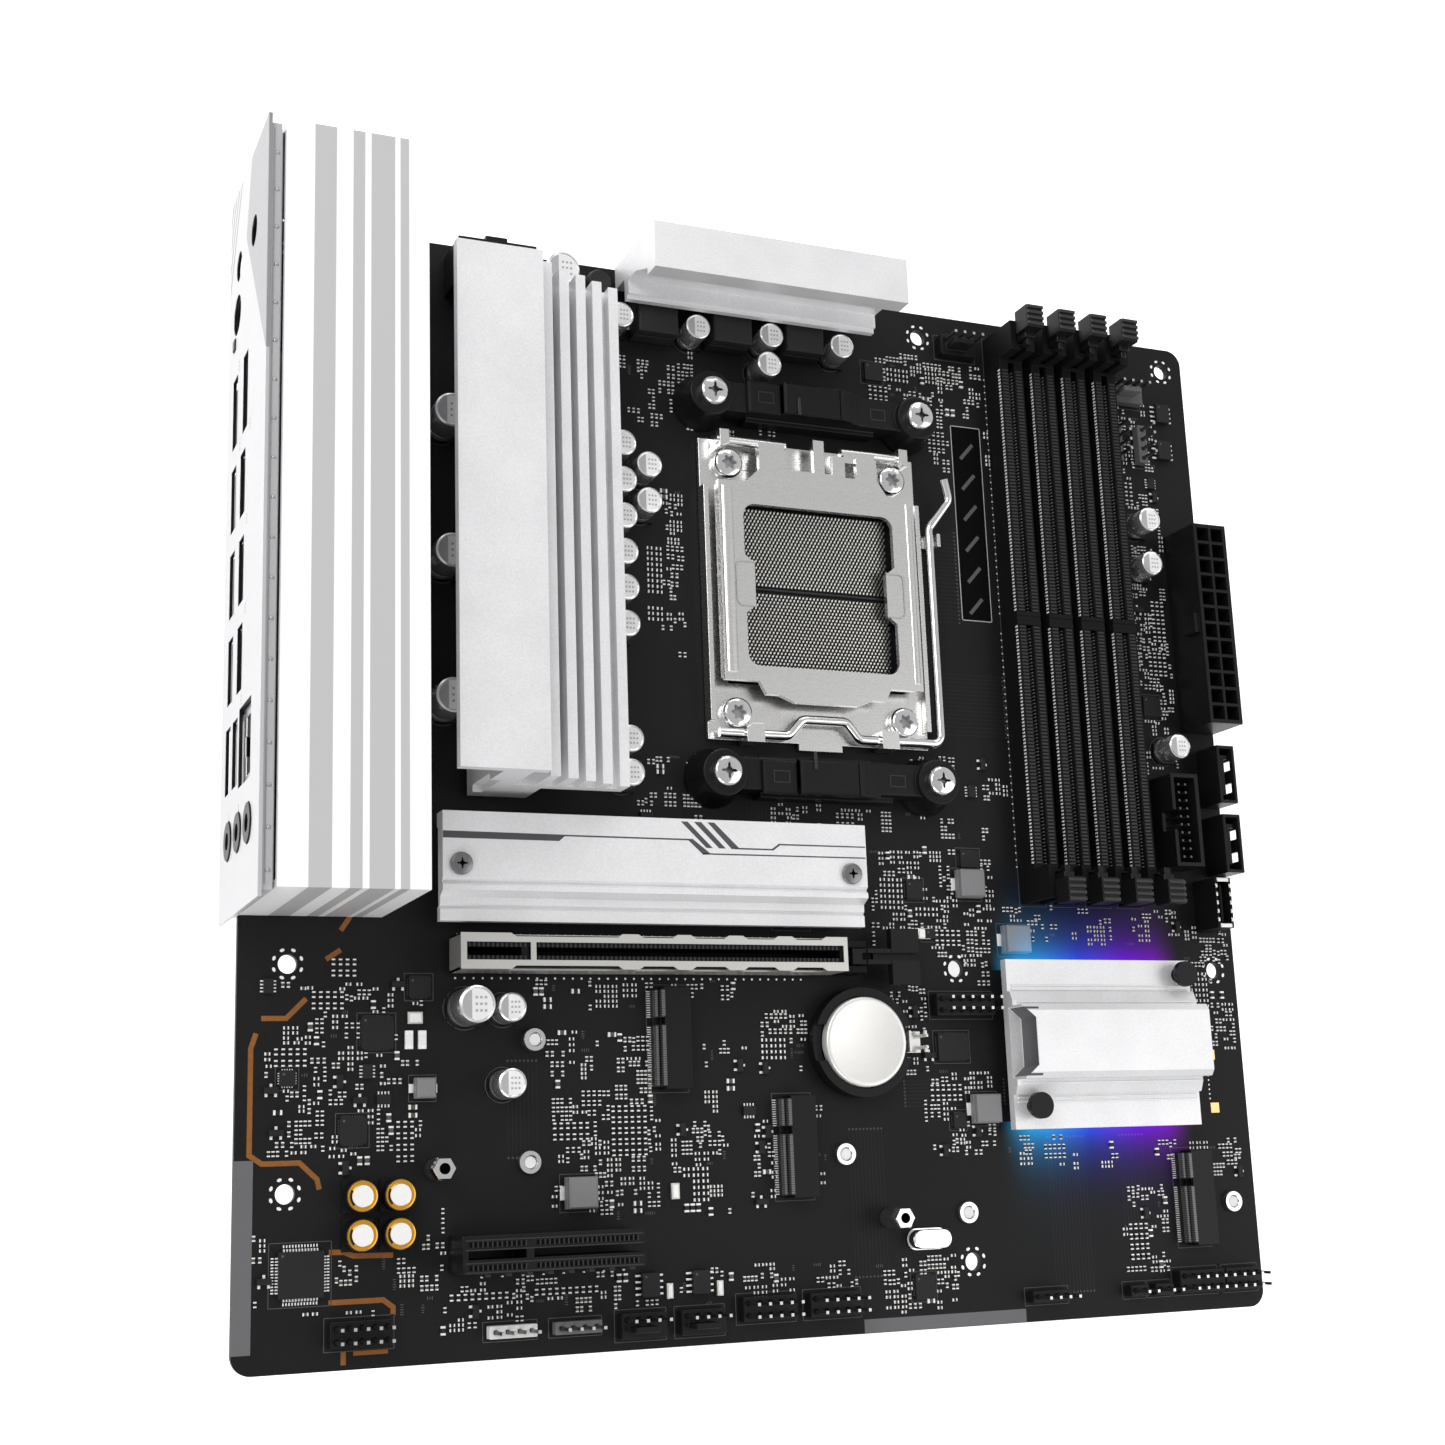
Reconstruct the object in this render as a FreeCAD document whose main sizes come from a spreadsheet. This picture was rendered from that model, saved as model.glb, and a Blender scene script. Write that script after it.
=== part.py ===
"""A microATX computer motherboard, drawn as an assembly of separate pieces.

Every piece is drawn in board coordinates: x from the rear edge, y from the slot edge, z up from the
face that carries the parts.  Each node's Placement then moves it to the part frame, whose origin is
the centre of the four corner standoff holes on the underside of the board, +Z up through the parts.
"""
import math
import os
import re

import FreeCAD
import Part
import Sketcher

DRIVING = {
    # the bare board and its standoff holes
    "board_width": 243.84, "board_depth": 243.84, "board_thickness": 1.6, "board_corner": 4,
    "hole_radius": 1.98, "rear_hole_x": 10.16, "mid_hole_x": 165.10, "front_hole_x": 237.49,
    "low_hole_y": 80.01, "top_hole_y": 237.49, "slot_hole_y": 34.29, "edge_hole_y": 13.97,
    "origin_x": 123.825, "origin_y": 158.75,
    # rear plate and the cover over the ports
    "plate_x": -3.3, "plate_wall": 0.8, "plate_low": 88, "plate_length": 158.75,
    "plate_bottom": -3.81, "plate_height": 44.45, "rim_inset": 1.4, "rim_depth": 2.2, "rim_wall": 0.6,
    "antenna_radius": 3.25, "antenna_y": 228,
    "cover_x": 0.2, "cover_y": 89.8, "cover_wide": 29.3, "cover_long": 155.8, "cover_top": 41,
    "cover_wall": 1.6, "cover_lift": 0.4,
    # power stage heatsinks
    "left_low": 116, "left_long": 113.8, "left_wing_x": 37.8, "left_wing_wide": 19, "left_top": 32,
    "left_wing_thick": 2.6, "left_web_x": 47.5, "left_web_wide": 13, "left_shelf_end": 78.4,
    "left_shelf_z": 13, "left_shelf_thick": 3, "left_foot_z": 2.1, "fin_thick": 2.2, "fin_step": 4.5,
    "fin_drop": 2, "fin_count": 5,
    "over_x": 84.2, "over_long": 63.4, "over_front": 232.2, "over_back": 243.2, "over_top": 28,
    "over_lip": 5, "over_web_y": 236.4, "over_shelf_z": 8.2, "over_shelf_thick": 2.6, "over_foot_y": 237.6,
    # M.2 drive heatsink and sockets
    "armor_x": 40, "armor_long": 98.2, "armor_y": 88.4, "armor_wide": 22.8, "armor_top": 10,
    "armor_thick": 2.6, "armor_step_y": 94.6, "armor_step_drop": 2.4, "armor_groove_y": 96.4,
    "armor_screw_y": 100, "armor_screw_low_x": 43.9, "armor_screw_high_x": 134.2, "m2_socket_tall": 4.2,
    # chipset
    "chip_x": 175.2, "chip_long": 51, "chip_y": 42.8, "chip_wide": 38.9, "chip_plate_z": 3.4,
    "chip_plate_top": 5.6, "chip_block_y": 54, "chip_block_wide": 16.8, "chip_block_top": 12.4,
    "chip_rib_wide": 3.4, "chip_rib_top": 7.6, "chip_pin_radius": 3.0,
    "chip_pin_low_x": 180.2, "chip_pin_low_y": 48, "chip_pin_high_x": 222.8, "chip_pin_high_y": 78.2,
    # processor socket
    "socket_x": 132.2, "socket_y": 167.5, "socket_screw_dx": 21.4, "socket_screw_dy": 30,
    "cooler_dx": 27, "cooler_dy": 45, "well_half_x": 20.4, "well_half_y": 20.4, "well_wall": 2,
    "well_top": 4.3, "well_floor": 2, "field_top": 2.9, "frame_half_x": 28.2, "frame_low_y": 131.4,
    "frame_high_y": 203.6, "frame_z": 0.3, "frame_thick": 1.3, "load_z": 4.8, "load_thick": 1.4,
    "load_half_x": 25.4, "load_low_y": 139.9, "load_high_y": 199.8, "window_half": 19.4,
    "load_pivot_y": 202.6, "load_pivot_z": 4.4, "load_rod": 1.1, "lever_wire": 1.1, "lever_pivot_y": 132.6,
    "lever_pivot_z": 3.6, "crank_reach": 3.9, "lever_arm_x": 162.9, "lever_hook_y": 183,
    "lever_left_x": 106, "running_gap": 0.06,
    # memory slots
    "dimm_x": 187.2, "dimm_step": 9.17, "dimm_low": 103, "dimm_high": 231.6, "dimm_wide": 6.6,
    "dimm_tall": 7.2, "dimm_mouth": 1.7, "dimm_key_y": 164.3, "tower_long": 7.6, "tower_tall": 13.4,
    "tower_slot": 3.4, "latch_thick": 2.8, "latch_top": 20.4, "latch_pivot_z": 3.6, "latch_head": 4.6,
    # expansion slots
    "slot_wide": 7.5, "slot_tall": 11.2, "slot_mouth": 1.9, "x16_x": 43.4, "x16_y": 78.1, "x16_long": 88.4,
    "x4_x": 43.4, "x4_y": 17.4, "x4_long": 38.8, "slot_key_offset": 13.2, "slot_key": 1.6,
    "shield_wall": 0.4, "retainer_pivot_x": 136.6, "retainer_pivot_z": 3.2,
    # coin cell
    "cell_x": 138.4, "cell_y": 63, "cell_radius": 10, "cell_thick": 3.2, "cell_z": 2.2,
    "holder_radius": 12.2, "holder_tall": 4.2,
    # power connectors
    "cell_pitch": 4.2, "plug_wall": 0.75, "plug_tall": 12.8, "atx_x": 233.9,
    "atx_y": 139.8, "eps_x": 43.6, "eps_y": 230.6, "plug_floor": 2.4,
    # front connectors
    "sata_x": 238.1, "sata_wide": 5.2, "sata_long": 14.6, "sata_tall": 8.5, "sata_wall": 0.8,
    "sata_tongue": 1.1, "sata_tongue_gap": 1, "sata_window": 2.4, "sata_window_low": 3, "sata_window_high": 8.6,
    "usb_head_x": 223.4, "usb_head_y": 104.4, "usb_head_wide": 8, "usb_head_long": 23, "usb_head_tall": 8.8,
    "type_e_x": 235.8, "type_e_y": 89.4, "type_e_long": 12.4, "type_e_wide": 4.6, "type_e_tall": 9,
    # small parts
    "pin_pitch": 2.54, "pin_side": 0.64, "pin_tall": 8.5, "pin_base": 2.5, "tail": 1.6,
    "polymer_radius": 3.15, "polymer_tall": 7.8, "bulk_radius": 4, "bulk_tall": 10.4,
    "audio_cap_radius": 3.2, "audio_cap_tall": 5.6, "choke_side": 10, "choke_tall": 7,
    # rear ports
    "port_front": -2.2, "port_back": 15, "usb_wide": 14.6, "usb_mouth_wide": 13.1,
    "usb_mouth_tall": 5.6, "usb_deep": 10, "jack_y": 103.7, "jack_radius": 3.9, "jack_bore": 1.8,
    "button_y": 211.4, "button_z": 3.6, "button_side": 2.4,
    # screws from below that hold the heatsinks and the cover
    "sink_bore": 1.2, "sink_bore_top": 8, "sink_screw": 1.15, "sink_screw_top": 6.4, "cover_screw_top": 3.4,
}

POLYMER_SPOTS = [(83.5, 229.2), (102.6, 228.8), (121.4, 229.2), (140, 228.9), (120.6, 221.8),
                 (83.3, 198), (89.4, 193.4), (83.2, 189.2), (89.2, 184.8), (83.1, 180.6), (83.1, 172.2),
                 (83.1, 163.8), (83.1, 155.4), (83.2, 129.2), (83.2, 121.6), (55.4, 70.6), (55.2, 55),
                 (224.7, 193.2), (224.4, 181.6), (227.9, 134.6)]
BULK_SPOTS = [(47.1, 71), (68.8, 237.4), (42.6, 200), (42.6, 168), (42.6, 136)]
AUDIO_CAP_SPOTS = [(24.6, 33.4), (32.3, 33.4), (24.6, 25.8), (32.3, 25.8)]
CHOKES_LEFT_Y = [125.5, 142, 158.5, 175, 191.5, 208]
CHOKES_OVER_X = [93, 111.8, 130.6]
INDUCTORS = [(169.3, 99.8, 6.6), (180.8, 86.8, 6.6), (169.9, 47.8, 6.6), (71.6, 32.4, 6.6),
             (38.2, 54.6, 4.2)]
CHIPS = [(13.3, 18.7, 9, 9, 1.4), (28.5, 66, 6.6, 6.6, 0.9), (23.6, 46.4, 5.4, 5.4, 0.9),
         (10.3, 57, 3.2, 3.2, 0.8), (37.4, 75.4, 4.6, 4.2, 0.9), (86.8, 13, 3.9, 4.9, 1.5),
         (98.3, 13, 3.9, 4.9, 1.5), (152.2, 9.2, 5, 5, 0.9), (162.8, 62, 8, 6, 1.0),
         (163.4, 45.4, 3.2, 3.2, 0.9), (236, 225.2, 3.9, 4.9, 1.5), (235.6, 215, 3.9, 4.9, 1.5),
         (225.4, 146, 5, 5, 0.9), (155, 98.2, 4.2, 4.2, 0.9), (158.4, 88, 2.6, 2.2, 0.9),
         (151.6, 226.4, 4.6, 4.6, 0.9), (170.2, 105.8, 5, 4, 0.9)]
M2_SOCKETS = [(90.6, 53.4, 22), (119.6, 29.6, 22), (223.4, 15, 22), (121.4, 88.9, 21.4)]
M2_MOUNTS = [(61.6, 64.2, 3), (60.8, 39, 1.2), (134, 38.6, 1.2), (164.2, 24.8, 1.2), (236.8, 24.6, 1.2)]
M2_TALL_MOUNTS = [(40.6, 38.2), (144.2, 24.4)]
HEADERS = [(18.8, 4.3, 5, 2), (107.2, 4.3, 5, 2), (123, 4.3, 5, 2), (218.6, 4.3, 5, 2), (231.6, 4.3, 4, 2),
           (158.2, 69, 6, 2), (178.6, 4.3, 4, 1), (204.8, 4.3, 2, 1), (211.6, 4.3, 2, 1)]
FAN_HEADERS = [(79.6, 2.4), (93, 2.4), (170.2, 233), (219, 226.4)]
LED_HEADERS = [(51.2, 4.2, True), (65.2, 4.2, True), (219.4, 210.4, False), (226.8, 210.4, False)]
USB_STACKS = [(176.2, (5.2, 16.2)), (157.6, (5.2, 16.2)), (139.2, (5.2, 16.2)), (120.5, (4.2, 12.4))]
JACK_HEIGHTS = [6.6, 17.8, 29]
LEFT_SCREWS = [(53.5, 119.6), (53.5, 226)]
OVER_SCREWS = [(88, 240.6), (144, 240.6)]
COVER_SCREWS = [(14, 94), (22, 240)]

WORD = re.compile(r"[a-z][a-z0-9]*(?:_[a-z0-9]+)+")
DIRECTIONS = {"Z": ("XY_Plane", 1), "Y": ("XZ_Plane", -1), "X": ("YZ_Plane", 1)}
TURN = {"X": FreeCAD.Rotation(FreeCAD.Vector(0, 1, 0), 90),
        "Y": FreeCAD.Rotation(FreeCAD.Vector(1, 0, 0), -90)}

doc = FreeCAD.newDocument("motherboard")
nodes = []


def write_sheet():
    """Put the driving dimensions in the spreadsheet, one named cell each."""
    sheet = doc.addObject("Spreadsheet::Sheet", "dims")
    for row, (alias, value) in enumerate(DRIVING.items(), 1):
        sheet.set(f"A{row}", alias)
        sheet.set(f"B{row}", str(value))
        sheet.setAlias(f"B{row}", alias)
    doc.recompute()
    return sheet


def dim(alias):
    """The value of one named cell."""
    return float(getattr(sheet, alias))


def formula(text):
    """Turn names such as board_width into references to the sheet."""
    return WORD.sub(lambda found: "dims." + found.group(), str(text))


def at(thing, corner, turn=None):
    """Stand a primitive at a corner given by three numbers or formulas."""
    if turn:
        thing.Placement = FreeCAD.Placement(FreeCAD.Vector(), turn)
    for letter, value in zip("xyz", corner):
        thing.setExpression("Placement.Base." + letter, formula(value))
    return thing


def block(name, corner, size):
    """A block from its low corner and its three sizes."""
    thing = doc.addObject("Part::Box", name)
    for side, value in zip(("Length", "Width", "Height"), size):
        thing.setExpression(side, formula(value))
    return at(thing, corner)


def rod(name, centre, radius, height, axis="Z"):
    """A cylinder from the centre of its low end."""
    thing = doc.addObject("Part::Cylinder", name)
    thing.setExpression("Radius", formula(radius))
    thing.setExpression("Height", formula(height))
    return at(thing, centre, TURN.get(axis))


def join(name, *things):
    """One solid from several."""
    thing = doc.addObject("Part::MultiFuse", name)
    thing.Shapes = list(things)
    return thing


def group(name, *things):
    """Several separate solids kept as one object."""
    thing = doc.addObject("Part::Compound", name)
    thing.Links = list(things)
    return thing


def cut(name, base, *tools):
    """The base with every tool taken away."""
    thing = doc.addObject("Part::Cut", name)
    thing.Base = base
    thing.Tool = tools[0] if len(tools) == 1 else group(name + "_tools", *tools)
    return thing


def shape(name, solid):
    """A shape made with Part's own functions, from sizes read from the sheet."""
    thing = doc.addObject("Part::Feature", name)
    thing.Shape = solid
    return thing


def place_node(thing, name):
    """Name a finished piece and move it from board coordinates to the part frame."""
    thing.Label = name
    thing.setExpression("Placement.Base.x", formula("-origin_x"))
    thing.setExpression("Placement.Base.y", formula("-origin_y"))
    thing.setExpression("Placement.Base.z", formula("board_thickness"))
    nodes.append(thing)


def node(name, *things):
    """A finished piece, or a group of identical pieces, under the name of its file."""
    place_node(group("node_" + name, *things), name)


def start_sketch(body, name, axis, start):
    """A sketch square to an axis, at a distance along it."""
    role, sign = DIRECTIONS[axis]
    plane = next(item for item in body.Origin.OriginFeatures if item.Role == role)
    sketch = body.newObject("Sketcher::SketchObject", name)
    sketch.AttachmentSupport = [(plane, "")]
    sketch.MapMode = "FlatFace"
    sketch.setExpression("AttachmentOffset.Base.z", formula(f"{sign} * ({start})"))
    return sketch


def fix_point(sketch, edge, end, guess, place):
    """Tie one sketch point to the sheet with two signed distances from the origin."""
    for kind, value, text in zip(("DistanceX", "DistanceY"), guess, place):
        index = sketch.addConstraint(Sketcher.Constraint(kind, -1, 1, edge, end, value))
        sketch.setExpression(f"Constraints[{index}]", formula(text))


def draw_loop(sketch, corners):
    """A closed loop of straight lines through the corners."""
    first = sketch.GeometryCount
    count = len(corners)
    ring = [FreeCAD.Vector(50 + 40 * math.cos(2 * math.pi * k / count),
                           50 + 40 * math.sin(2 * math.pi * k / count), 0) for k in range(count)]
    for k in range(count):
        sketch.addGeometry(Part.LineSegment(ring[k], ring[(k + 1) % count]), False)
    for k, corner in enumerate(corners):
        after = first + (k + 1) % count
        sketch.addConstraint(Sketcher.Constraint("Coincident", first + k, 2, after, 1))
        fix_point(sketch, first + k, 1, (ring[k].x, ring[k].y), corner)


def pad(name, axis, start, length, corners):
    """A body whose outline is drawn square to an axis and padded along it."""
    body = doc.addObject("PartDesign::Body", name)
    sketch = start_sketch(body, name + "_outline", axis, start)
    draw_loop(sketch, corners)
    doc.recompute()
    feature = body.newObject("PartDesign::Pad", name + "_pad")
    feature.Profile = sketch
    feature.Reversed = axis == "Y"
    feature.setExpression("Length", formula(length))
    doc.recompute()
    return body


def rectangle(x, y, wide, deep):
    """The four corners of a rectangle, as formulas."""
    return [(x, y), (f"{x} + {wide}", y), (f"{x} + {wide}", f"{y} + {deep}"), (x, f"{y} + {deep}")]


def pocket(body, name, axis, start, length, draw):
    """Take away what a sketch outlines, both ways from its plane, and check that it cut."""
    before = body.Shape.Volume
    sketch = start_sketch(body, name + "_outline", axis, start)
    draw(sketch)
    doc.recompute()
    feature = body.newObject("PartDesign::Pocket", name)
    feature.Profile = sketch
    feature.Midplane = True
    feature.setExpression("Length", formula(length))
    doc.recompute()
    if not body.Shape.Volume < before:
        raise RuntimeError(name + " cuts nothing")


def drill(body, name, holes, depth):
    """Round holes along Z, each a centre and a radius."""
    def circles(sketch):
        for x, y, radius in holes:
            edge = sketch.addGeometry(Part.Circle(FreeCAD.Vector(20, 20, 0), FreeCAD.Vector(0, 0, 1), 2),
                                      False)
            fix_point(sketch, edge, 3, (20, 20), (x, y))
            index = sketch.addConstraint(Sketcher.Constraint("Radius", edge, 2))
            sketch.setExpression(f"Constraints[{index}]", formula(radius))
    pocket(body, name, "Z", 0, depth, circles)


def round_edges(body, name, radius, wanted):
    """Fillet the edges of the body's last feature that a test picks."""
    tip = body.Tip
    names = [f"Edge{k}" for k, edge in enumerate(tip.Shape.Edges, 1) if wanted(edge)]
    feature = body.newObject("PartDesign::Fillet", name)
    feature.Base = (tip, names)
    feature.setExpression("Radius", formula(radius))
    doc.recompute()


def upright(edge):
    """True for a straight edge along Z."""
    if not isinstance(edge.Curve, Part.Line):
        return False
    return abs(edge.tangentAt(edge.FirstParameter).z) > 0.99


def wire_sweep(points, radius, bend):
    """A round wire along straight runs joined by arcs."""
    edges = []
    last = points[0]
    for before, corner, after in zip(points, points[1:], points[2:]):
        back = (before - corner).normalize()
        ahead = (after - corner).normalize()
        half = back.getAngle(ahead) / 2
        reach = min(bend / math.tan(half), 0.45 * min((before - corner).Length, (after - corner).Length))
        start = corner + back * reach
        end = corner + ahead * reach
        middle_way = (back + ahead).normalize()
        arc_radius = reach * math.tan(half)
        middle = corner + middle_way * (arc_radius / math.sin(half) - arc_radius)
        if (start - last).Length > 1e-6:
            edges.append(Part.LineSegment(last, start).toShape())
        edges.append(Part.Arc(start, middle, end).toShape())
        last = end
    edges.append(Part.LineSegment(last, points[-1]).toShape())
    path = Part.Wire(edges)
    section = Part.Wire([Part.makeCircle(radius, points[0], points[1] - points[0])])
    return path.makePipeShell([section], True, True)


def boxes(spots, size):
    """A shape of equal boxes, from their low corners."""
    return Part.makeCompound([Part.makeBox(*size, FreeCAD.Vector(*spot)) for spot in spots])


def cylinders(spots, radius, height, base=0.0):
    """Upright cylinders on a level."""
    return [Part.makeCylinder(radius, height, FreeCAD.Vector(x, y, base)) for x, y in spots]


def make_pcb():
    """The bare board, its standoff holes and the holes of everything bolted to it."""
    body = pad("pcb", "Z", "-board_thickness", "board_thickness",
               rectangle("0", "0", "board_width", "board_depth"))
    round_edges(body, "pcb_corners", "board_corner", upright)
    standoffs = [("rear_hole_x", "low_hole_y"), ("rear_hole_x", "top_hole_y"),
                 ("rear_hole_x", "slot_hole_y"), ("mid_hole_x", "low_hole_y"), ("mid_hole_x", "top_hole_y"),
                 ("mid_hole_x", "edge_hole_y"), ("front_hole_x", "low_hole_y"),
                 ("front_hole_x", "top_hole_y")]
    holes = [(x, y, "hole_radius") for x, y in standoffs]
    for side_x in (-1, 1):
        for side_y in (-1, 1):
            holes.append((f"socket_x + {side_x} * cooler_dx", f"socket_y + {side_y} * cooler_dy", 2.1))
            holes.append((f"socket_x + {side_x} * socket_screw_dx",
                          f"socket_y + {side_y} * socket_screw_dy", 1.9))
    holes += [(x, y, 1.6) for x, y in LEFT_SCREWS + OVER_SCREWS + COVER_SCREWS]
    holes += [("chip_pin_low_x", "chip_pin_low_y", 1.6), ("chip_pin_high_x", "chip_pin_high_y", 1.6)]
    drill(body, "pcb_holes", holes, "board_thickness * 3")
    place_node(body, "pcb")


def make_io_shield():
    """The rear plate: a flat face with a rim behind it and a mouth for every port."""
    face = block("shield_face", ("plate_x", "plate_low", "plate_bottom"),
                 ("plate_wall", "plate_length", "plate_height"))
    rim_outer = block("rim_outer", ("plate_x + plate_wall", "plate_low + rim_inset",
                                    "plate_bottom + rim_inset"),
                      ("rim_depth", "plate_length - 2 * rim_inset", "plate_height - 2 * rim_inset"))
    rim_inner = block("rim_inner", ("plate_x + plate_wall", "plate_low + rim_inset + rim_wall",
                                    "plate_bottom"), ("rim_depth",
                                                      "plate_length - 2 * rim_inset - 2 * rim_wall",
                                                      "plate_height - rim_inset - rim_wall"))
    solid = join("shield_solid", face, cut("rim_ring", rim_outer, rim_inner))
    deep = "plate_wall + 2"
    front = "plate_x - 1"
    mouths = [rod(f"antenna_hole_{z}", (front, "antenna_y", z), "antenna_radius", deep, "X")
              for z in (7.6, 25.4)]
    mouths.append(rod("ps2_hole", (front, 217.4, 6.2), 4.4, deep, "X"))
    mouths.append(block("button_hole",
                        (front, "button_y - button_side / 2 - 0.3", "button_z - button_side / 2 - 0.3"),
                        (deep, "button_side + 0.6", "button_side + 0.6")))
    mouths.append(block("video_hole_low", (front, 187.6, 2.4), (deep, 15.6, 6.2)))
    mouths.append(block("video_hole_high", (front, 187.2, 14.8), (deep, 16.8, 6)))
    for y, rows in USB_STACKS:
        for z in rows:
            mouths.append(block(f"usb_hole_{y}_{z}", (front, f"{y} - 6.9", f"{z} - 3.1"),
                                (deep, 13.8, 6.2)))
    mouths.append(block("lan_hole", (front, 112.5, 17), (deep, 16, 13.8)))
    mouths += [rod(f"jack_hole_{z}", (front, "jack_y", z), "jack_radius + 0.2", deep, "X")
               for z in JACK_HEIGHTS]
    node("io_shield", cut("shield_cut", solid, *mouths))


def make_io_cover():
    """The cover over the rear ports: a box open below and towards the rear plate."""
    outside = block("cover_outside", ("cover_x", "cover_y", "cover_lift"),
                    ("cover_wide", "cover_long", "cover_top - cover_lift"))
    inside = block("cover_inside", ("cover_x - 1", "cover_y + cover_wall", "cover_lift - 1"),
                   ("cover_wide + 1 - cover_wall", "cover_long - 2 * cover_wall",
                    "cover_top - cover_lift + 1 - cover_wall"))
    bosses = []
    for number, (x, y) in enumerate(COVER_SCREWS):
        tall = "cover_top - cover_wall - 0.2"
        bosses.append(cut(f"cover_post_{number}", rod(f"post_{number}", (x, y, 0.2), 2.6, tall),
                          rod(f"post_bore_{number}", (x, y, 0), 1.2, 10)))
    node("io_cover", join("cover_shell", cut("cover_cut", outside, inside), *bosses))


def make_heatsink_left():
    """The tall power-stage heatsink: a flat wing, a web and a row of stepped fins."""
    shelf_top = "left_shelf_z + left_shelf_thick"
    web_end = "left_web_x + left_web_wide"
    wing_end = "left_wing_x + left_wing_wide"
    wing_low = "left_top - left_wing_thick"
    web_top_x = f"{wing_end} - 3"
    corners = [("left_web_x", "left_foot_z"), (web_end, "left_foot_z"), (web_end, "left_shelf_z")]
    fins = int(dim("fin_count"))
    for fin in range(fins):
        right = f"left_shelf_end - {fin} * fin_step"
        left = f"{right} - fin_thick"
        top = f"left_top - 3 - {fins - fin} * fin_drop"
        root = shelf_top if fin else "left_shelf_z"
        corners += [(right, root), (right, top), (left, top), (left, shelf_top)]
    corners += [(web_top_x, shelf_top), (web_top_x, wing_low), (wing_end, wing_low), (wing_end, "left_top"),
                ("left_wing_x", "left_top"), ("left_wing_x", wing_low), ("left_web_x", wing_low)]
    body = pad("vrm_left", "Y", "left_low", "left_long", corners)
    slant = [("left_wing_x - 1", "left_low - 1"), ("left_web_x + 2", "left_low - 1"),
             ("left_web_x + 2", "left_low + 1.5"), ("left_wing_x - 1", "left_low + 1.5")]
    pocket(body, "vrm_left_step", "Z", "left_shelf_z", "left_shelf_z",
           lambda sketch: draw_loop(sketch, slant))
    drill(body, "vrm_left_bores", [(x, y, "sink_bore") for x, y in LEFT_SCREWS], "2 * sink_bore_top")
    place_node(body, "vrm_heatsink_left")


def make_heatsink_over():
    """The heatsink along the top edge: an overhanging plate with a lip, a web and a ribbed shelf."""
    shelf_top = "over_shelf_z + over_shelf_thick"
    corners = [("over_foot_y", "left_foot_z"), ("over_back", "left_foot_z"), ("over_back", "over_top"),
               ("over_front", "over_top"), ("over_front", "over_top - over_lip"),
               ("over_front + 1.6", "over_top - over_lip"), ("over_web_y", f"{shelf_top} + 5"),
               ("over_web_y", shelf_top), ("over_front + 1", shelf_top),
               ("over_front + 1", f"{shelf_top} - 1"), ("over_front", f"{shelf_top} - 1"),
               ("over_front", "over_shelf_z"), ("over_foot_y", "over_shelf_z")]
    body = pad("vrm_over", "X", "over_x", "over_long", corners)
    drill(body, "vrm_over_bores", [(x, y, "sink_bore") for x, y in OVER_SCREWS], "2 * sink_bore_top")
    place_node(body, "vrm_heatsink_top")


def make_m2_heatsink():
    """The drive heatsink: a plate with a stepped and grooved long edge, and two screw holes."""
    low = "armor_top - armor_thick"
    edge = "armor_y + armor_wide"
    step = "armor_top - armor_step_drop"
    corners = [("armor_y", f"{low} - 2"), ("armor_y + 3", f"{low} - 2"), ("armor_y + 3", f"{low} - 1.2"),
               (f"{edge} - 3", f"{low} - 1.2"), (f"{edge} - 3", f"{low} - 2"), (edge, f"{low} - 2"),
               (edge, "armor_top"), ("armor_groove_y + 0.7", "armor_top"),
               ("armor_groove_y", "armor_top - 0.8"), ("armor_groove_y - 0.7", "armor_top"),
               ("armor_step_y", "armor_top"), ("armor_step_y - 1.2", step), ("armor_y + 3.4", step),
               ("armor_y + 2.9", f"{step} - 0.6"), ("armor_y + 2.4", step), ("armor_y", step)]
    body = pad("m2_plate", "X", "armor_x", "armor_long", corners)
    holes = [("armor_screw_low_x", "armor_screw_y", 1.7), ("armor_screw_high_x", "armor_screw_y", 1.7)]
    drill(body, "m2_plate_holes", holes, 40)
    place_node(body, "m2_heatsink")
    posts = []
    for number, x in enumerate(("armor_screw_low_x", "armor_screw_high_x")):
        head = rod(f"m2_screw_head_{number}", (x, "armor_screw_y", "armor_top"), 2.4, 1.1)
        stem = rod(f"m2_screw_stem_{number}", (x, "armor_screw_y", 0.3), 1.4, "armor_top - 0.3")
        posts.append(join(f"m2_screw_{number}", head, stem))
    node("m2_heatsink_screws", *posts)


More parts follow.
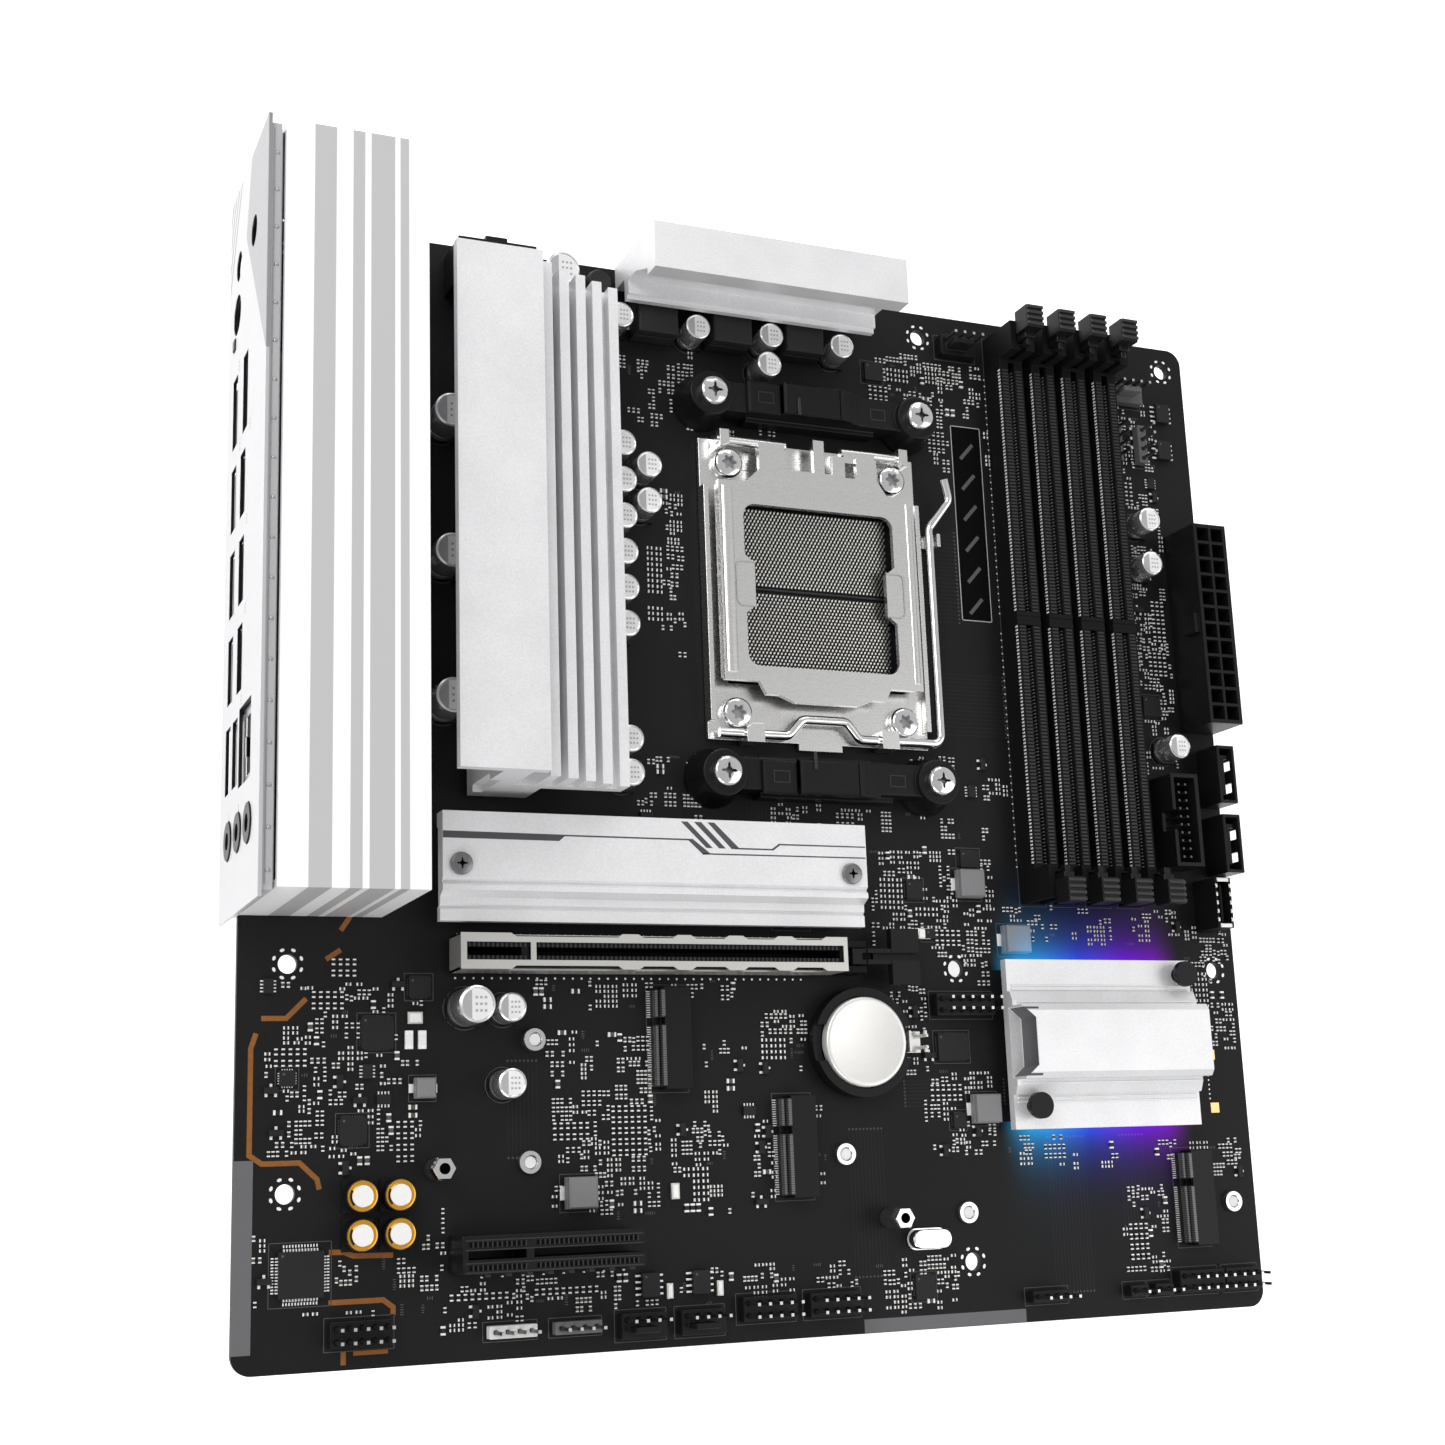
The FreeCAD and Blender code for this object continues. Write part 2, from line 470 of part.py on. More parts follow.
def make_chipset():
    """The chipset package, its heatsink and the two push pins that hold it."""
    top = "chip_plate_top"
    rib = "chip_rib_top"
    block_end = "chip_block_y + chip_block_wide"
    corners = [("chip_y", "chip_plate_z"), ("chip_y + chip_wide", "chip_plate_z"),
               ("chip_y + chip_wide", top), (f"{block_end} + chip_rib_wide", top),
               (f"{block_end} + chip_rib_wide", f"{top} + 1"), (f"{block_end} + 1.2", rib),
               (block_end, rib), (block_end, "chip_block_top - 1"),
               (f"{block_end} - 1.4", "chip_block_top"), ("chip_block_y + 1.4", "chip_block_top"),
               ("chip_block_y", "chip_block_top - 1"), ("chip_block_y", rib), ("chip_block_y - 1.2", rib),
               ("chip_block_y - chip_rib_wide", f"{top} + 1"), ("chip_block_y - chip_rib_wide", top),
               ("chip_y", top)]
    body = pad("chip_sink", "X", "chip_x", "chip_long", corners)
    pins = [("chip_pin_low_x", "chip_pin_low_y"), ("chip_pin_high_x", "chip_pin_high_y")]
    notch = [("chip_x - 1", "chip_block_y - 0.5"), ("chip_x + 3.2", "chip_block_y + 3"),
             ("chip_x + 3.2", f"{block_end} - 3"), ("chip_x - 1", f"{block_end} + 0.5")]
    pocket(body, "chip_sink_notch", "Z", "chip_block_top", "2 * (chip_block_top - chip_plate_top)",
           lambda sketch: draw_loop(sketch, notch))
    drill(body, "chip_sink_holes", [(x, y, 1.8) for x, y in pins], 30)
    place_node(body, "chipset_heatsink")
    pieces = []
    for number, (x, y) in enumerate(pins):
        cap = rod(f"push_cap_{number}", (x, y, "chip_plate_top + 2.4"), "chip_pin_radius", 1.6)
        stem = rod(f"push_stem_{number}", (x, y, "-board_thickness - 2"), 1.35,
                   "chip_plate_top + board_thickness + 4.4")
        barb = rod(f"push_barb_{number}", (x, y, "-board_thickness - 2"), 1.9, 1.6)
        pieces.append(join(f"push_pin_{number}", cap, stem, barb))
    node("chipset_push_pins", *pieces)
    carrier = block("chip_carrier", (193, 52, 0.3), (22, 22, 1.2))
    die = block("chip_die", (199.5, 58.5, 1.5), (9, 9, 0.9))
    node("chipset", join("chip_package", carrier, die))


def make_socket():
    """The processor socket: housing, contact field, frame, screws and the plate under the board."""
    x_low = "socket_x - well_half_x"
    y_low = "socket_y - well_half_y"
    outer = block("well_outer", (f"{x_low} - well_wall", f"{y_low} - well_wall", 0.2),
                  ("2 * (well_half_x + well_wall)", "2 * (well_half_y + well_wall)", "well_top - 0.2"))
    inner = block("well_inner", (x_low, y_low, "well_floor"),
                  ("2 * well_half_x", "2 * well_half_y", "well_top"))
    node("cpu_socket", cut("well", outer, inner))
    fields = [block(f"field_{side}", (f"{x_low} + 0.5", low, "well_floor"),
                    ("2 * well_half_x - 1", "well_half_y - 0.9", "field_top - well_floor"))
              for side, low in (("low", "socket_y - 0.4 - (well_half_y - 0.9)"),
                                ("high", "socket_y + 0.4"))]
    node("socket_contact_field", *fields)
    wide = "2 * frame_half_x"
    base = block("frame_base", ("socket_x - frame_half_x", "frame_low_y", "frame_z"),
                 (wide, "frame_high_y - frame_low_y", "frame_thick"))
    hollow = block("frame_hollow", (f"{x_low} - well_wall - 0.3", f"{y_low} - well_wall - 0.3", -1),
                   ("2 * (well_half_x + well_wall + 0.3)", "2 * (well_half_y + well_wall + 0.3)", 4))
    rails = [block("rail_left", ("socket_x - frame_half_x", "frame_low_y + 4", "frame_z"),
                   (1.2, "frame_high_y - frame_low_y - 16", 3.6)),
             block("rail_right", ("socket_x + frame_half_x - 1.2", "frame_low_y + 4", "frame_z"),
                   (1.2, "frame_high_y - frame_low_y - 16", 3.6))]
    hook = block("lever_rest", ("socket_x + frame_half_x - 0.6", "lever_hook_y - 1.6", "frame_z + 0.6"),
                 ("lever_arm_x + 2.4 - socket_x - frame_half_x + 0.6", 3.2, 1.1))
    hook_stem = block("lever_rest_lip", ("lever_arm_x + 1.5", "lever_hook_y - 1.6", "frame_z + 0.6"),
                      (0.9, 3.2, 4))
    curls = []
    for number, x in enumerate((112, 146.4)):
        ear = block(f"lever_ear_{number}", (x, "lever_pivot_y - 2.2", "frame_z"),
                    (4.4, 4.4, "lever_pivot_z + 2 - frame_z"))
        bore = rod(f"lever_bore_{number}", (x - 1, "lever_pivot_y", "lever_pivot_z"),
                   "lever_wire + running_gap", 7, "X")
        curls.append(cut(f"lever_bearing_{number}", ear, bore))
    for number, x in enumerate((107.6, 154.4)):
        ear = block(f"plate_ear_{number}", (x, "load_pivot_y - 2.1", "frame_z"),
                    (2.4, 4.2, "load_pivot_z + 1.9 - frame_z"))
        bore = rod(f"plate_bore_{number}", (x - 1, "load_pivot_y", "load_pivot_z"),
                   "load_rod + running_gap", 5, "X")
        curls.append(cut(f"plate_bearing_{number}", ear, bore))
    tab = block("frame_tab", (126.6, "frame_low_y - 1.6", "frame_z"), (11.2, 2, "frame_thick"))
    frame = join("frame_joined", cut("frame_ring", base, hollow), tab, hook, hook_stem, *rails, *curls)
    seats = []
    spots = [(a, b) for a in (-1, 1) for b in (-1, 1)]
    for number, (a, b) in enumerate(spots):
        x = f"socket_x + {a} * socket_screw_dx"
        y = f"socket_y + {b} * socket_screw_dy"
        seats.append(rod(f"screw_hole_{number}", (x, y, 0), 1.9, 4))
        seats.append(rod(f"screw_seat_{number}", (x, y, "frame_z + frame_thick"), 3.8, 6))
    node("socket_frame", cut("frame", frame, *seats))
    screws = []
    for number, (a, b) in enumerate(spots):
        x = f"socket_x + {a} * socket_screw_dx"
        y = f"socket_y + {b} * socket_screw_dy"
        head = rod(f"torx_head_{number}", (x, y, "frame_z + frame_thick"), 3.6, 2.4)
        stem = rod(f"torx_stem_{number}", (x, y, "-board_thickness - 1.9"), 1.6,
                   "frame_z + frame_thick + board_thickness + 2")
        screws.append(join(f"torx_{number}", head, stem))
    node("socket_screws", *screws)
    plate = block("back_plate", ("socket_x - 34", "socket_y - 50", "-board_thickness - 2"), (68, 100, 2))
    opening = block("back_window", ("socket_x - 15", "socket_y - 15", "-board_thickness - 3"), (30, 30, 4))
    bores = [rod(f"back_bore_{k}", (f"socket_x + {a} * socket_screw_dx",
                                    f"socket_y + {b} * socket_screw_dy", -5), 1.66, 4)
             for k, (a, b) in enumerate(spots)]
    nuts = []
    for k, (a, b) in enumerate(spots):
        x = f"socket_x + {a} * cooler_dx"
        y = f"socket_y + {b} * cooler_dy"
        nuts.append(rod(f"back_nut_{k}", (x, y, "-board_thickness"), 2, "board_thickness + 1"))
        bores.append(rod(f"nut_bore_{k}", (x, y, "-board_thickness - 3"), 1.56, 9))
    node("socket_backplate", cut("back_plate_cut", join("back_plate_solid", plate, *nuts), opening, *bores))


def make_load_plate():
    """The hinged load plate: a sprung steel frame round the processor, with a tongue for the lever."""
    left = "socket_x - load_half_x"
    right = "socket_x + load_half_x"
    notch = 8.6
    corners = [(left, f"load_low_y + {notch - 4}"), (f"{left} + {notch}", f"load_low_y + {notch - 4}"),
               (f"{left} + {notch + 1.6}", "load_low_y + 1.6"), ("socket_x - 12", "load_low_y + 1.6"),
               ("socket_x - 8", "load_low_y"), ("socket_x + 8", "load_low_y"),
               ("socket_x + 12", "load_low_y + 1.6"), (f"{right} - {notch + 1.6}", "load_low_y + 1.6"),
               (f"{right} - {notch}", f"load_low_y + {notch - 4}"), (right, f"load_low_y + {notch - 4}"),
               (right, "load_high_y - 7.6"), (f"{right} - 7", "load_high_y - 7.6"),
               (f"{right} - 9.4", "load_high_y - 4"), (f"{right} - 9.4", "load_high_y + 1.2"),
               ("socket_x + 10.6", "load_high_y + 1.2"), ("socket_x + 10.6", "load_high_y - 4"),
               ("socket_x + 7.6", "load_high_y - 4"), ("socket_x + 7.6", "load_high_y + 1.2"),
               ("socket_x + 4.4", "load_high_y + 1.2"), ("socket_x + 4.4", "load_high_y - 3.6"),
               ("socket_x + 2.2", "load_high_y - 3.6"), ("socket_x + 2.2", "load_high_y + 4.6"),
               ("socket_x - 0.6", "load_high_y + 4.6"), ("socket_x - 0.6", "load_high_y - 3.6"),
               ("socket_x - 7.8", "load_high_y - 3.6"), ("socket_x - 7.8", "load_high_y + 1.2"),
               (f"{left} + 10.6", "load_high_y + 1.2"), (f"{left} + 10.6", "load_high_y - 4"),
               (f"{left} + 7", "load_high_y - 7.6"), (left, "load_high_y - 7.6")]
    body = pad("load_sheet", "Z", "load_z", "load_thick", corners)
    w = "window_half"
    tab = 2.4
    window = [(f"socket_x - {w}", f"socket_y - {w}"), (f"socket_x + {w}", f"socket_y - {w}"),
              (f"socket_x + {w}", "socket_y - 7"), (f"socket_x + {w} - {tab}", "socket_y - 5"),
              (f"socket_x + {w} - {tab}", "socket_y + 5"), (f"socket_x + {w}", "socket_y + 7"),
              (f"socket_x + {w}", f"socket_y + {w}"), (f"socket_x - {w}", f"socket_y + {w}"),
              (f"socket_x - {w}", "socket_y + 7"), (f"socket_x - {w} + {tab}", "socket_y + 5"),
              (f"socket_x - {w} + {tab}", "socket_y - 5"), (f"socket_x - {w}", "socket_y - 7")]
    pocket(body, "load_window", "Z", "load_z", "load_thick * 4", lambda sketch: draw_loop(sketch, window))
    half = dim("window_half")
    cx, cy = dim("socket_x"), dim("socket_y")

    def window_corner(edge):
        middle = edge.CenterOfMass
        near = 0.01
        square = abs(abs(middle.x - cx) - half) < near and abs(abs(middle.y - cy) - half) < near
        return square and upright(edge)

    round_edges(body, "load_window_corners", 3, window_corner)
    rods = [rod("hinge_rod_left", ("socket_x - 24.9", "load_pivot_y", "load_pivot_z"), "load_rod", 17.6,
                "X"), rod("hinge_rod_right", ("socket_x + 7.3", "load_pivot_y", "load_pivot_z"), "load_rod",
                          17.6, "X")]
    ears = [block("hinge_ear_left", ("socket_x - 14.6", "load_high_y", "load_pivot_z - 0.6"),
                  (6.8, 2.8, 1.8)), block("hinge_ear_right",
                                          ("socket_x + 7.7", "load_high_y", "load_pivot_z - 0.6"),
                                          (8.2, 2.8, 1.8))]
    ribs = [block(f"edge_roll_{side}", (x, "load_low_y + 5.4", "load_z - 1.1"),
                  (1.2, "load_high_y - load_low_y - 13.8", 1.6))
            for side, x in (("left", left), ("right", f"{right} - 1.2"))]
    node("socket_load_plate", join("load_plate", body, *rods, *ears, *ribs))


def make_lever():
    """The load lever: one bent wire with a crank in its pivot and a kinked handle."""
    y0, z0 = dim("lever_pivot_y"), dim("lever_pivot_z")
    cx, reach, arm = dim("socket_x"), dim("crank_reach"), dim("lever_arm_x")
    hook = dim("lever_hook_y")
    route = [(dim("lever_left_x"), y0, z0), (cx - 9, y0, z0), (cx - 5.6, y0 + reach, z0 + 0.4),
             (cx + 5.6, y0 + reach, z0 + 0.4), (cx + 9, y0, z0), (arm, y0, z0), (arm, hook + 3, z0),
             (arm + 5.4, hook + 10.4, z0 + 1.2), (arm + 4, hook + 15.4, z0 + 1.8)]
    solid = wire_sweep([FreeCAD.Vector(*point) for point in route], dim("lever_wire"), 2.4)
    node("socket_lever", shape("lever_wire_shape", solid))


def make_cooler_brackets():
    """The two plastic rails that hold a cooler, and their four screws."""
    for side, sign in (("upper", 1), ("lower", -1)):
        y = f"socket_y + {sign} * cooler_dy"
        feet = [rod(f"foot_{side}_{a}", (f"socket_x + {a} * cooler_dx", y, 0.2), 5.4, 8) for a in (-1, 1)]
        bar = block(f"bar_{side}", ("socket_x - cooler_dx", f"{y} - 3.4", 0.2), ("2 * cooler_dx", 7.4, 6.6))
        lip = block(f"lip_{side}", ("socket_x - 9", f"{y} - 3.4", 6.8), (18, 7.4, 2))
        tie = block(f"tie_{side}", ("socket_x - 17", f"{y} - 4.6", 0.2), (34, 9.4, 4))
        bores = [rod(f"bore_{side}_{a}", (f"socket_x + {a} * cooler_dx", y, -1), 2.1, 12) for a in (-1, 1)]
        node(f"cooler_bracket_{side}",
             cut(f"bracket_{side}", join(f"rail_{side}", *feet, bar, lip, tie), *bores))
    screws = []
    for number, (a, b) in enumerate([(a, b) for a in (-1, 1) for b in (-1, 1)]):
        x = f"socket_x + {a} * cooler_dx"
        y = f"socket_y + {b} * cooler_dy"
        head = rod(f"cooler_head_{number}", (x, y, 8.2), 3.5, 2.2)
        stem = rod(f"cooler_stem_{number}", (x, y, "-board_thickness - 1.6"), 1.5, "board_thickness + 10")
        screws.append(join(f"cooler_screw_{number}", head, stem))
    node("cooler_bracket_screws", *screws)


def dimm_centre(index):
    """The centre line of a memory slot."""
    return f"dimm_x + {index} * dimm_step"


def make_dimm_slots():
    """Four memory slots, each a long housing between two towers that carry the latches."""
    slots = []
    for index in range(4):
        x = dimm_centre(index)
        low_x = f"{x} - dimm_wide / 2"
        rail = block(f"dimm_rail_{index}", (low_x, "dimm_low", 0.2),
                     ("dimm_wide", "dimm_high - dimm_low", "dimm_tall - 0.2"))
        parts = [rail]
        mouth = f"{x} - dimm_mouth / 2"
        tools = [block(f"dimm_mouth_a_{index}", (mouth, "dimm_low - 1", 2.2),
                       ("dimm_mouth", "dimm_key_y - 0.9 - dimm_low + 1", 20)),
                 block(f"dimm_mouth_b_{index}", (mouth, "dimm_key_y + 0.9", 2.2),
                       ("dimm_mouth", "dimm_high + 1 - dimm_key_y - 0.9", 20))]
        for end, low_y, sign in (("low", "dimm_low - tower_long", -1), ("high", "dimm_high", 1)):
            parts.append(block(f"tower_{end}_{index}", (low_x, low_y, 0.2),
                               ("dimm_wide", "tower_long", "tower_tall - 0.2")))
            gap_y = "dimm_low - tower_long - 1" if sign < 0 else "dimm_high + 1.6"
            tools.append(block(f"tower_gap_{end}_{index}", (f"{x} - tower_slot / 2", gap_y, 1.2),
                               ("tower_slot", "tower_long - 0.6", 20)))
            pivot_y = "dimm_low - 4" if sign < 0 else "dimm_high + 4"
            tools.append(rod(f"tower_bore_{end}_{index}", (f"{x} - 2.7", pivot_y, "latch_pivot_z"),
                             "1 + running_gap", 5.4, "X"))
        slots.append(cut(f"dimm_slot_{index}", join(f"dimm_solid_{index}", *parts), *tools))
    node("dimm_slots", *slots)


def make_dimm_latches():
    """Eight latches: a blade on a pin inside the tower, and a ribbed head above it."""
    for index in range(4):
        x = dimm_centre(index)
        for end, sign in (("low", -1), ("high", 1)):
            pivot_y = "dimm_low - 4" if sign < 0 else "dimm_high + 4"
            blade = block(f"blade_{end}_{index}",
                          (f"{x} - latch_thick / 2", f"{pivot_y} - 1.9", "latch_pivot_z - 1.6"),
                          ("latch_thick", 3.8, "latch_top - latch_pivot_z - 2"))
            pin = rod(f"latch_pin_{end}_{index}", (f"{x} - 2.5", pivot_y, "latch_pivot_z"), 1, 5, "X")
            head_y = f"{pivot_y} - 5.4" if sign < 0 else f"{pivot_y} - 0.6"
            head = block(f"latch_head_{end}_{index}", (f"{x} - latch_head / 2", head_y, "tower_tall + 0.8"),
                         ("latch_head", 6, "latch_top - tower_tall - 0.8"))
            claw_y = f"{pivot_y} + 1" if sign < 0 else f"{pivot_y} - 3.6"
            claw = block(f"latch_claw_{end}_{index}", (f"{x} - 0.7", claw_y, "tower_tall + 1"),
                         (1.4, 2.6, 2))
            number = index + 1
            node(f"dimm_latch_{end}_{number}", join(f"latch_{end}_{index}", blade, pin, head, claw))


def open_slot(name, x, y, long):
    """A short slot housing, open at its far end, with two contact mouths and the key between them."""
    body = block(name + "_body", (x, y, 0.2), (long, "slot_wide", "slot_tall - 0.2"))
    mouth_y = f"{y} + (slot_wide - slot_mouth) / 2"
    first = block(name + "_mouth_a", (f"{x} + 1.2", mouth_y, 2.4),
                  ("slot_key_offset - 1.2", "slot_mouth", 20))
    second = block(name + "_mouth_b", (f"{x} + slot_key_offset + slot_key", mouth_y, 2.4),
                   (f"{long} - slot_key_offset - slot_key + 1", "slot_mouth", 20))
    return cut(name, body, first, second)


def make_expansion_slots():
    """The shielded graphics slot with its retainer, and the open-ended short slot."""
    inner_x = "x16_x + shield_wall + 0.05"
    inner_y = "x16_y + shield_wall + 0.05"
    body = block("x16_body", (inner_x, inner_y, 0.2),
                 ("x16_long - 2 * shield_wall - 0.1", "slot_wide - 2 * shield_wall - 0.1",
                  "slot_tall - shield_wall - 0.5"))
    mouth_y = "x16_y + (slot_wide - slot_mouth) / 2"
    mouths = [block("x16_mouth_a", ("x16_x + 1.6", mouth_y, 2.4),
                    ("slot_key_offset - 1.6", "slot_mouth", 20)),
              block("x16_mouth_b", ("x16_x + slot_key_offset + slot_key", mouth_y, 2.4),
                    ("x16_long - slot_key_offset - slot_key - 1.6", "slot_mouth", 20))]
    post_x = "x16_x + x16_long + 0.02"
    posts = [block(f"retainer_post_{side}", (post_x, y, 0.2), (7, 1.5, 6.2))
             for side, y in (("low", "x16_y + 0.2"), ("high", "x16_y + slot_wide - 1.7"))]
    tie = block("retainer_tie", ("x16_x + x16_long - 1", "x16_y + 0.9", 0.2),
                (8.02, "slot_wide - 1.8", 0.9))
    pivots = rod("retainer_bore", ("retainer_pivot_x", "x16_y - 1", "retainer_pivot_z"), "1 + running_gap",
                 12, "Y")
    node("pcie_x16_slot", cut("x16_slot", join("x16_solid", body, tie, *posts), *mouths, pivots))

    cover = block("shield_outer", ("x16_x", "x16_y", 1.4), ("x16_long", "slot_wide", "slot_tall - 1.4"))
    hollow = block("shield_hollow", ("x16_x + shield_wall", "x16_y + shield_wall", 1),
                   ("x16_long - 2 * shield_wall", "slot_wide - 2 * shield_wall",
                    "slot_tall - shield_wall - 1.2"))
    first = block("shield_mouth_a", ("x16_x + 1.2", "x16_y + 1.9", 5),
                  ("slot_key_offset - 1", "slot_wide - 3.8", 20))
    second = block("shield_mouth_b", ("x16_x + slot_key_offset + slot_key - 0.4", "x16_y + 1.9", 5),
                   ("x16_long - slot_key_offset - slot_key - 0.8", "slot_wide - 3.8", 20))
    tie_gap = block("shield_tie_gap", ("x16_x + x16_long - 2", "x16_y + 0.1", 0),
                    (4, "slot_wide - 0.2", 1.5))
    node("pcie_x16_shield", cut("x16_shield", cover, hollow, first, second, tie_gap))

    gap = "x16_y + 2"
    wide = "slot_wide - 4"
    sides = (("low", gap), ("high", "x16_y + slot_wide - 3"))
    hubs = [block(f"retainer_hub_{side}", ("retainer_pivot_x - 1.6", y, "retainer_pivot_z - 1.5"),
                  (3.8, 1, 5.4)) for side, y in sides]
    cheeks = [block(f"retainer_cheek_{side}", ("retainer_pivot_x + 2", y, "retainer_pivot_z + 1.7"),
                    (12.6, 1, 2.6)) for side, y in sides]
    bridge = block("retainer_bridge", ("retainer_pivot_x + 4", gap, "retainer_pivot_z + 1.7"),
                   (9, wide, 1.2))
    pin = rod("retainer_pin", ("retainer_pivot_x", "x16_y + 0.45", "retainer_pivot_z"), 1,
              "slot_wide - 0.9", "Y")
    wings = [block(f"retainer_wing_{side}", ("retainer_pivot_x + 8", y, "retainer_pivot_z + 2.3"),
                   (7, 5.4, 2.2)) for side,
             y in (("low", "x16_y - 2.6"), ("high", "x16_y + slot_wide - 2.8"))]
    claw = block("retainer_claw", ("retainer_pivot_x - 1.6", gap, "retainer_pivot_z + 2.2"),
                 (2.4, wide, 1.7))
    node("pcie_x16_latch", join("retainer", *hubs, *cheeks, bridge, pin, *wings, claw))
    node("pcie_x4_slot", open_slot("x4_slot", "x4_x", "x4_y", "x4_long"))


def make_cell():
    """The coin cell, its round holder and the spring clip."""
    ring = rod("holder_ring", ("cell_x", "cell_y", 0.2), "holder_radius", "holder_tall - 0.2")
    well = rod("holder_well", ("cell_x", "cell_y", "cell_z - 0.1"), "cell_radius + 0.3", 6)
    clip_gap = block("holder_clip_gap", ("cell_x + cell_radius - 1", "cell_y - 3.6", "cell_z - 0.1"),
                     (6, 7.2, 6))
    finger_gap = block("holder_finger_gap", ("cell_x - 16", "cell_y - 4", "cell_z + 0.6"), (8, 8, 6))
    node("battery_holder", cut("holder", ring, well, clip_gap, finger_gap))
    cell = rod("cell_can", ("cell_x", "cell_y", "cell_z"), "cell_radius", "cell_thick")
    node("battery", cell)
    foot = block("clip_foot", ("cell_x + cell_radius + 0.5", "cell_y - 2.4", "cell_z"), (4.4, 4.8, 0.5))
    wall = block("clip_wall", ("cell_x + cell_radius + 0.5", "cell_y - 2.4", "cell_z"), (0.5, 4.8, 3.6))
    leg = block("clip_leg", ("cell_x + cell_radius + 4.3", "cell_y - 2.4", 0), (0.6, 4.8, "cell_z + 0.5"))
    node("battery_clip", join("clip", foot, wall, leg))


def power_header(name, x, y, columns, rows, latch_side):
    """A vertical power header: one walled cell for each terminal, with a pin in it."""
    pitch, wall = dim("cell_pitch"), dim("plug_wall")
    tall, floor = dim("plug_tall"), dim("plug_floor")
    side = pitch - wall
    long = columns * pitch + wall + 0.5
    deep = rows * pitch + wall + 0.5
    size = (deep, long) if latch_side == "x" else (long, deep)
    solid = Part.makeBox(size[0], size[1], tall - 0.2, FreeCAD.Vector(x, y, 0.2))
    cells = []
    pins = []
    for column in range(columns):
        for row in range(rows):
            along = (long - columns * pitch) / 2 + column * pitch + wall / 2
            across = (deep - rows * pitch) / 2 + row * pitch + wall / 2
            dx, dy = (across, along) if latch_side == "x" else (along, across)
            cells.append(Part.makeBox(side, side, tall, FreeCAD.Vector(x + dx, y + dy, floor)))
            middle = FreeCAD.Vector(x + dx + side / 2 - 0.5, y + dy + side / 2 - 0.5, floor - 0.5)
            pins.append(Part.makeBox(1, 1, 7.5, middle))
    catch = Part.makeBox(5, 1.4, 5, FreeCAD.Vector(x + size[0] / 2 - 2.5, y + size[1], tall - 6))
    if latch_side == "x":
        catch = Part.makeBox(1.4, 5, 5, FreeCAD.Vector(x - 1.4, y + size[1] / 2 - 2.5, tall - 6))
    body = solid.cut(cells).fuse(catch).fuse(pins)
    node(name, shape(name + "_shape", body))


def make_front_connectors():
    """Drive and front-panel connectors along the front edge."""
    ports = []
    for number, y in enumerate((103.2, 120.6)):
        body = block(f"sata_body_{number}", ("sata_x", y, 0.2),
                     ("sata_wide", "sata_long", "sata_tall - 0.2"))
        mouth = block(f"sata_mouth_{number}", ("sata_x + sata_wall", f"{y} + sata_wall", 1.8),
                      ("sata_wide - 2 * sata_wall", "sata_long - 2 * sata_wall", "sata_tall"))
        outer = "sata_x + sata_wide - 1.5 * sata_wall"
        windows = [block(f"{start}_{number}", (outer, f"{y} + {start}", "sata_window"),
                         ("2 * sata_wall", "sata_window", "2 * sata_window"))
                   for start in ("sata_window_low", "sata_window_high")]
        shell = cut(f"sata_shell_{number}", body, mouth, *windows)
        tongue_x = "sata_x + sata_wall + sata_tongue_gap"
        tongue = block(f"sata_tongue_{number}", (tongue_x, f"{y} + 2 * sata_tongue", 1.6),
                       ("sata_tongue", "sata_long - 4 * sata_tongue", "sata_tall - 3"))
        key = block(f"sata_key_{number}", (tongue_x, f"{y} + sata_long - 3 * sata_tongue", 1.6),
                    ("2 * sata_tongue", "sata_tongue", "sata_tall - 3"))
        ports.append(join(f"sata_{number}", shell, tongue, key))
    node("sata_connectors", *ports)
    shroud = block("usb_shroud", ("usb_head_x", "usb_head_y", 0.2),
                   ("usb_head_wide", "usb_head_long", "usb_head_tall - 0.2"))
    inside = block("usb_inside", ("usb_head_x + 1", "usb_head_y + 1", 1.8),
                   ("usb_head_wide - 2", "usb_head_long - 2", 20))
    key = block("usb_key", ("usb_head_x - 1", "usb_head_y + usb_head_long / 2 - 2.4", 4), (3, 4.8, 20))
    node("usb3_header", cut("usb_header", shroud, inside, key))
    rim = block("type_e_rim", ("type_e_x - type_e_wide / 2", "type_e_y", 0.2),
                ("type_e_wide", "type_e_long", "type_e_tall"))
    mouth = block("type_e_mouth", ("type_e_x - type_e_wide / 2 + 0.5", "type_e_y + 0.5", 2.4),
                  ("type_e_wide - 1", "type_e_long - 1", 20))
    tongue = block("type_e_tongue", ("type_e_x - 0.4", "type_e_y + 1.6", 2), (0.8, "type_e_long - 3.2", 6))
    node("usb_c_header", join("type_e", cut("type_e_shell", rim, mouth), tongue))


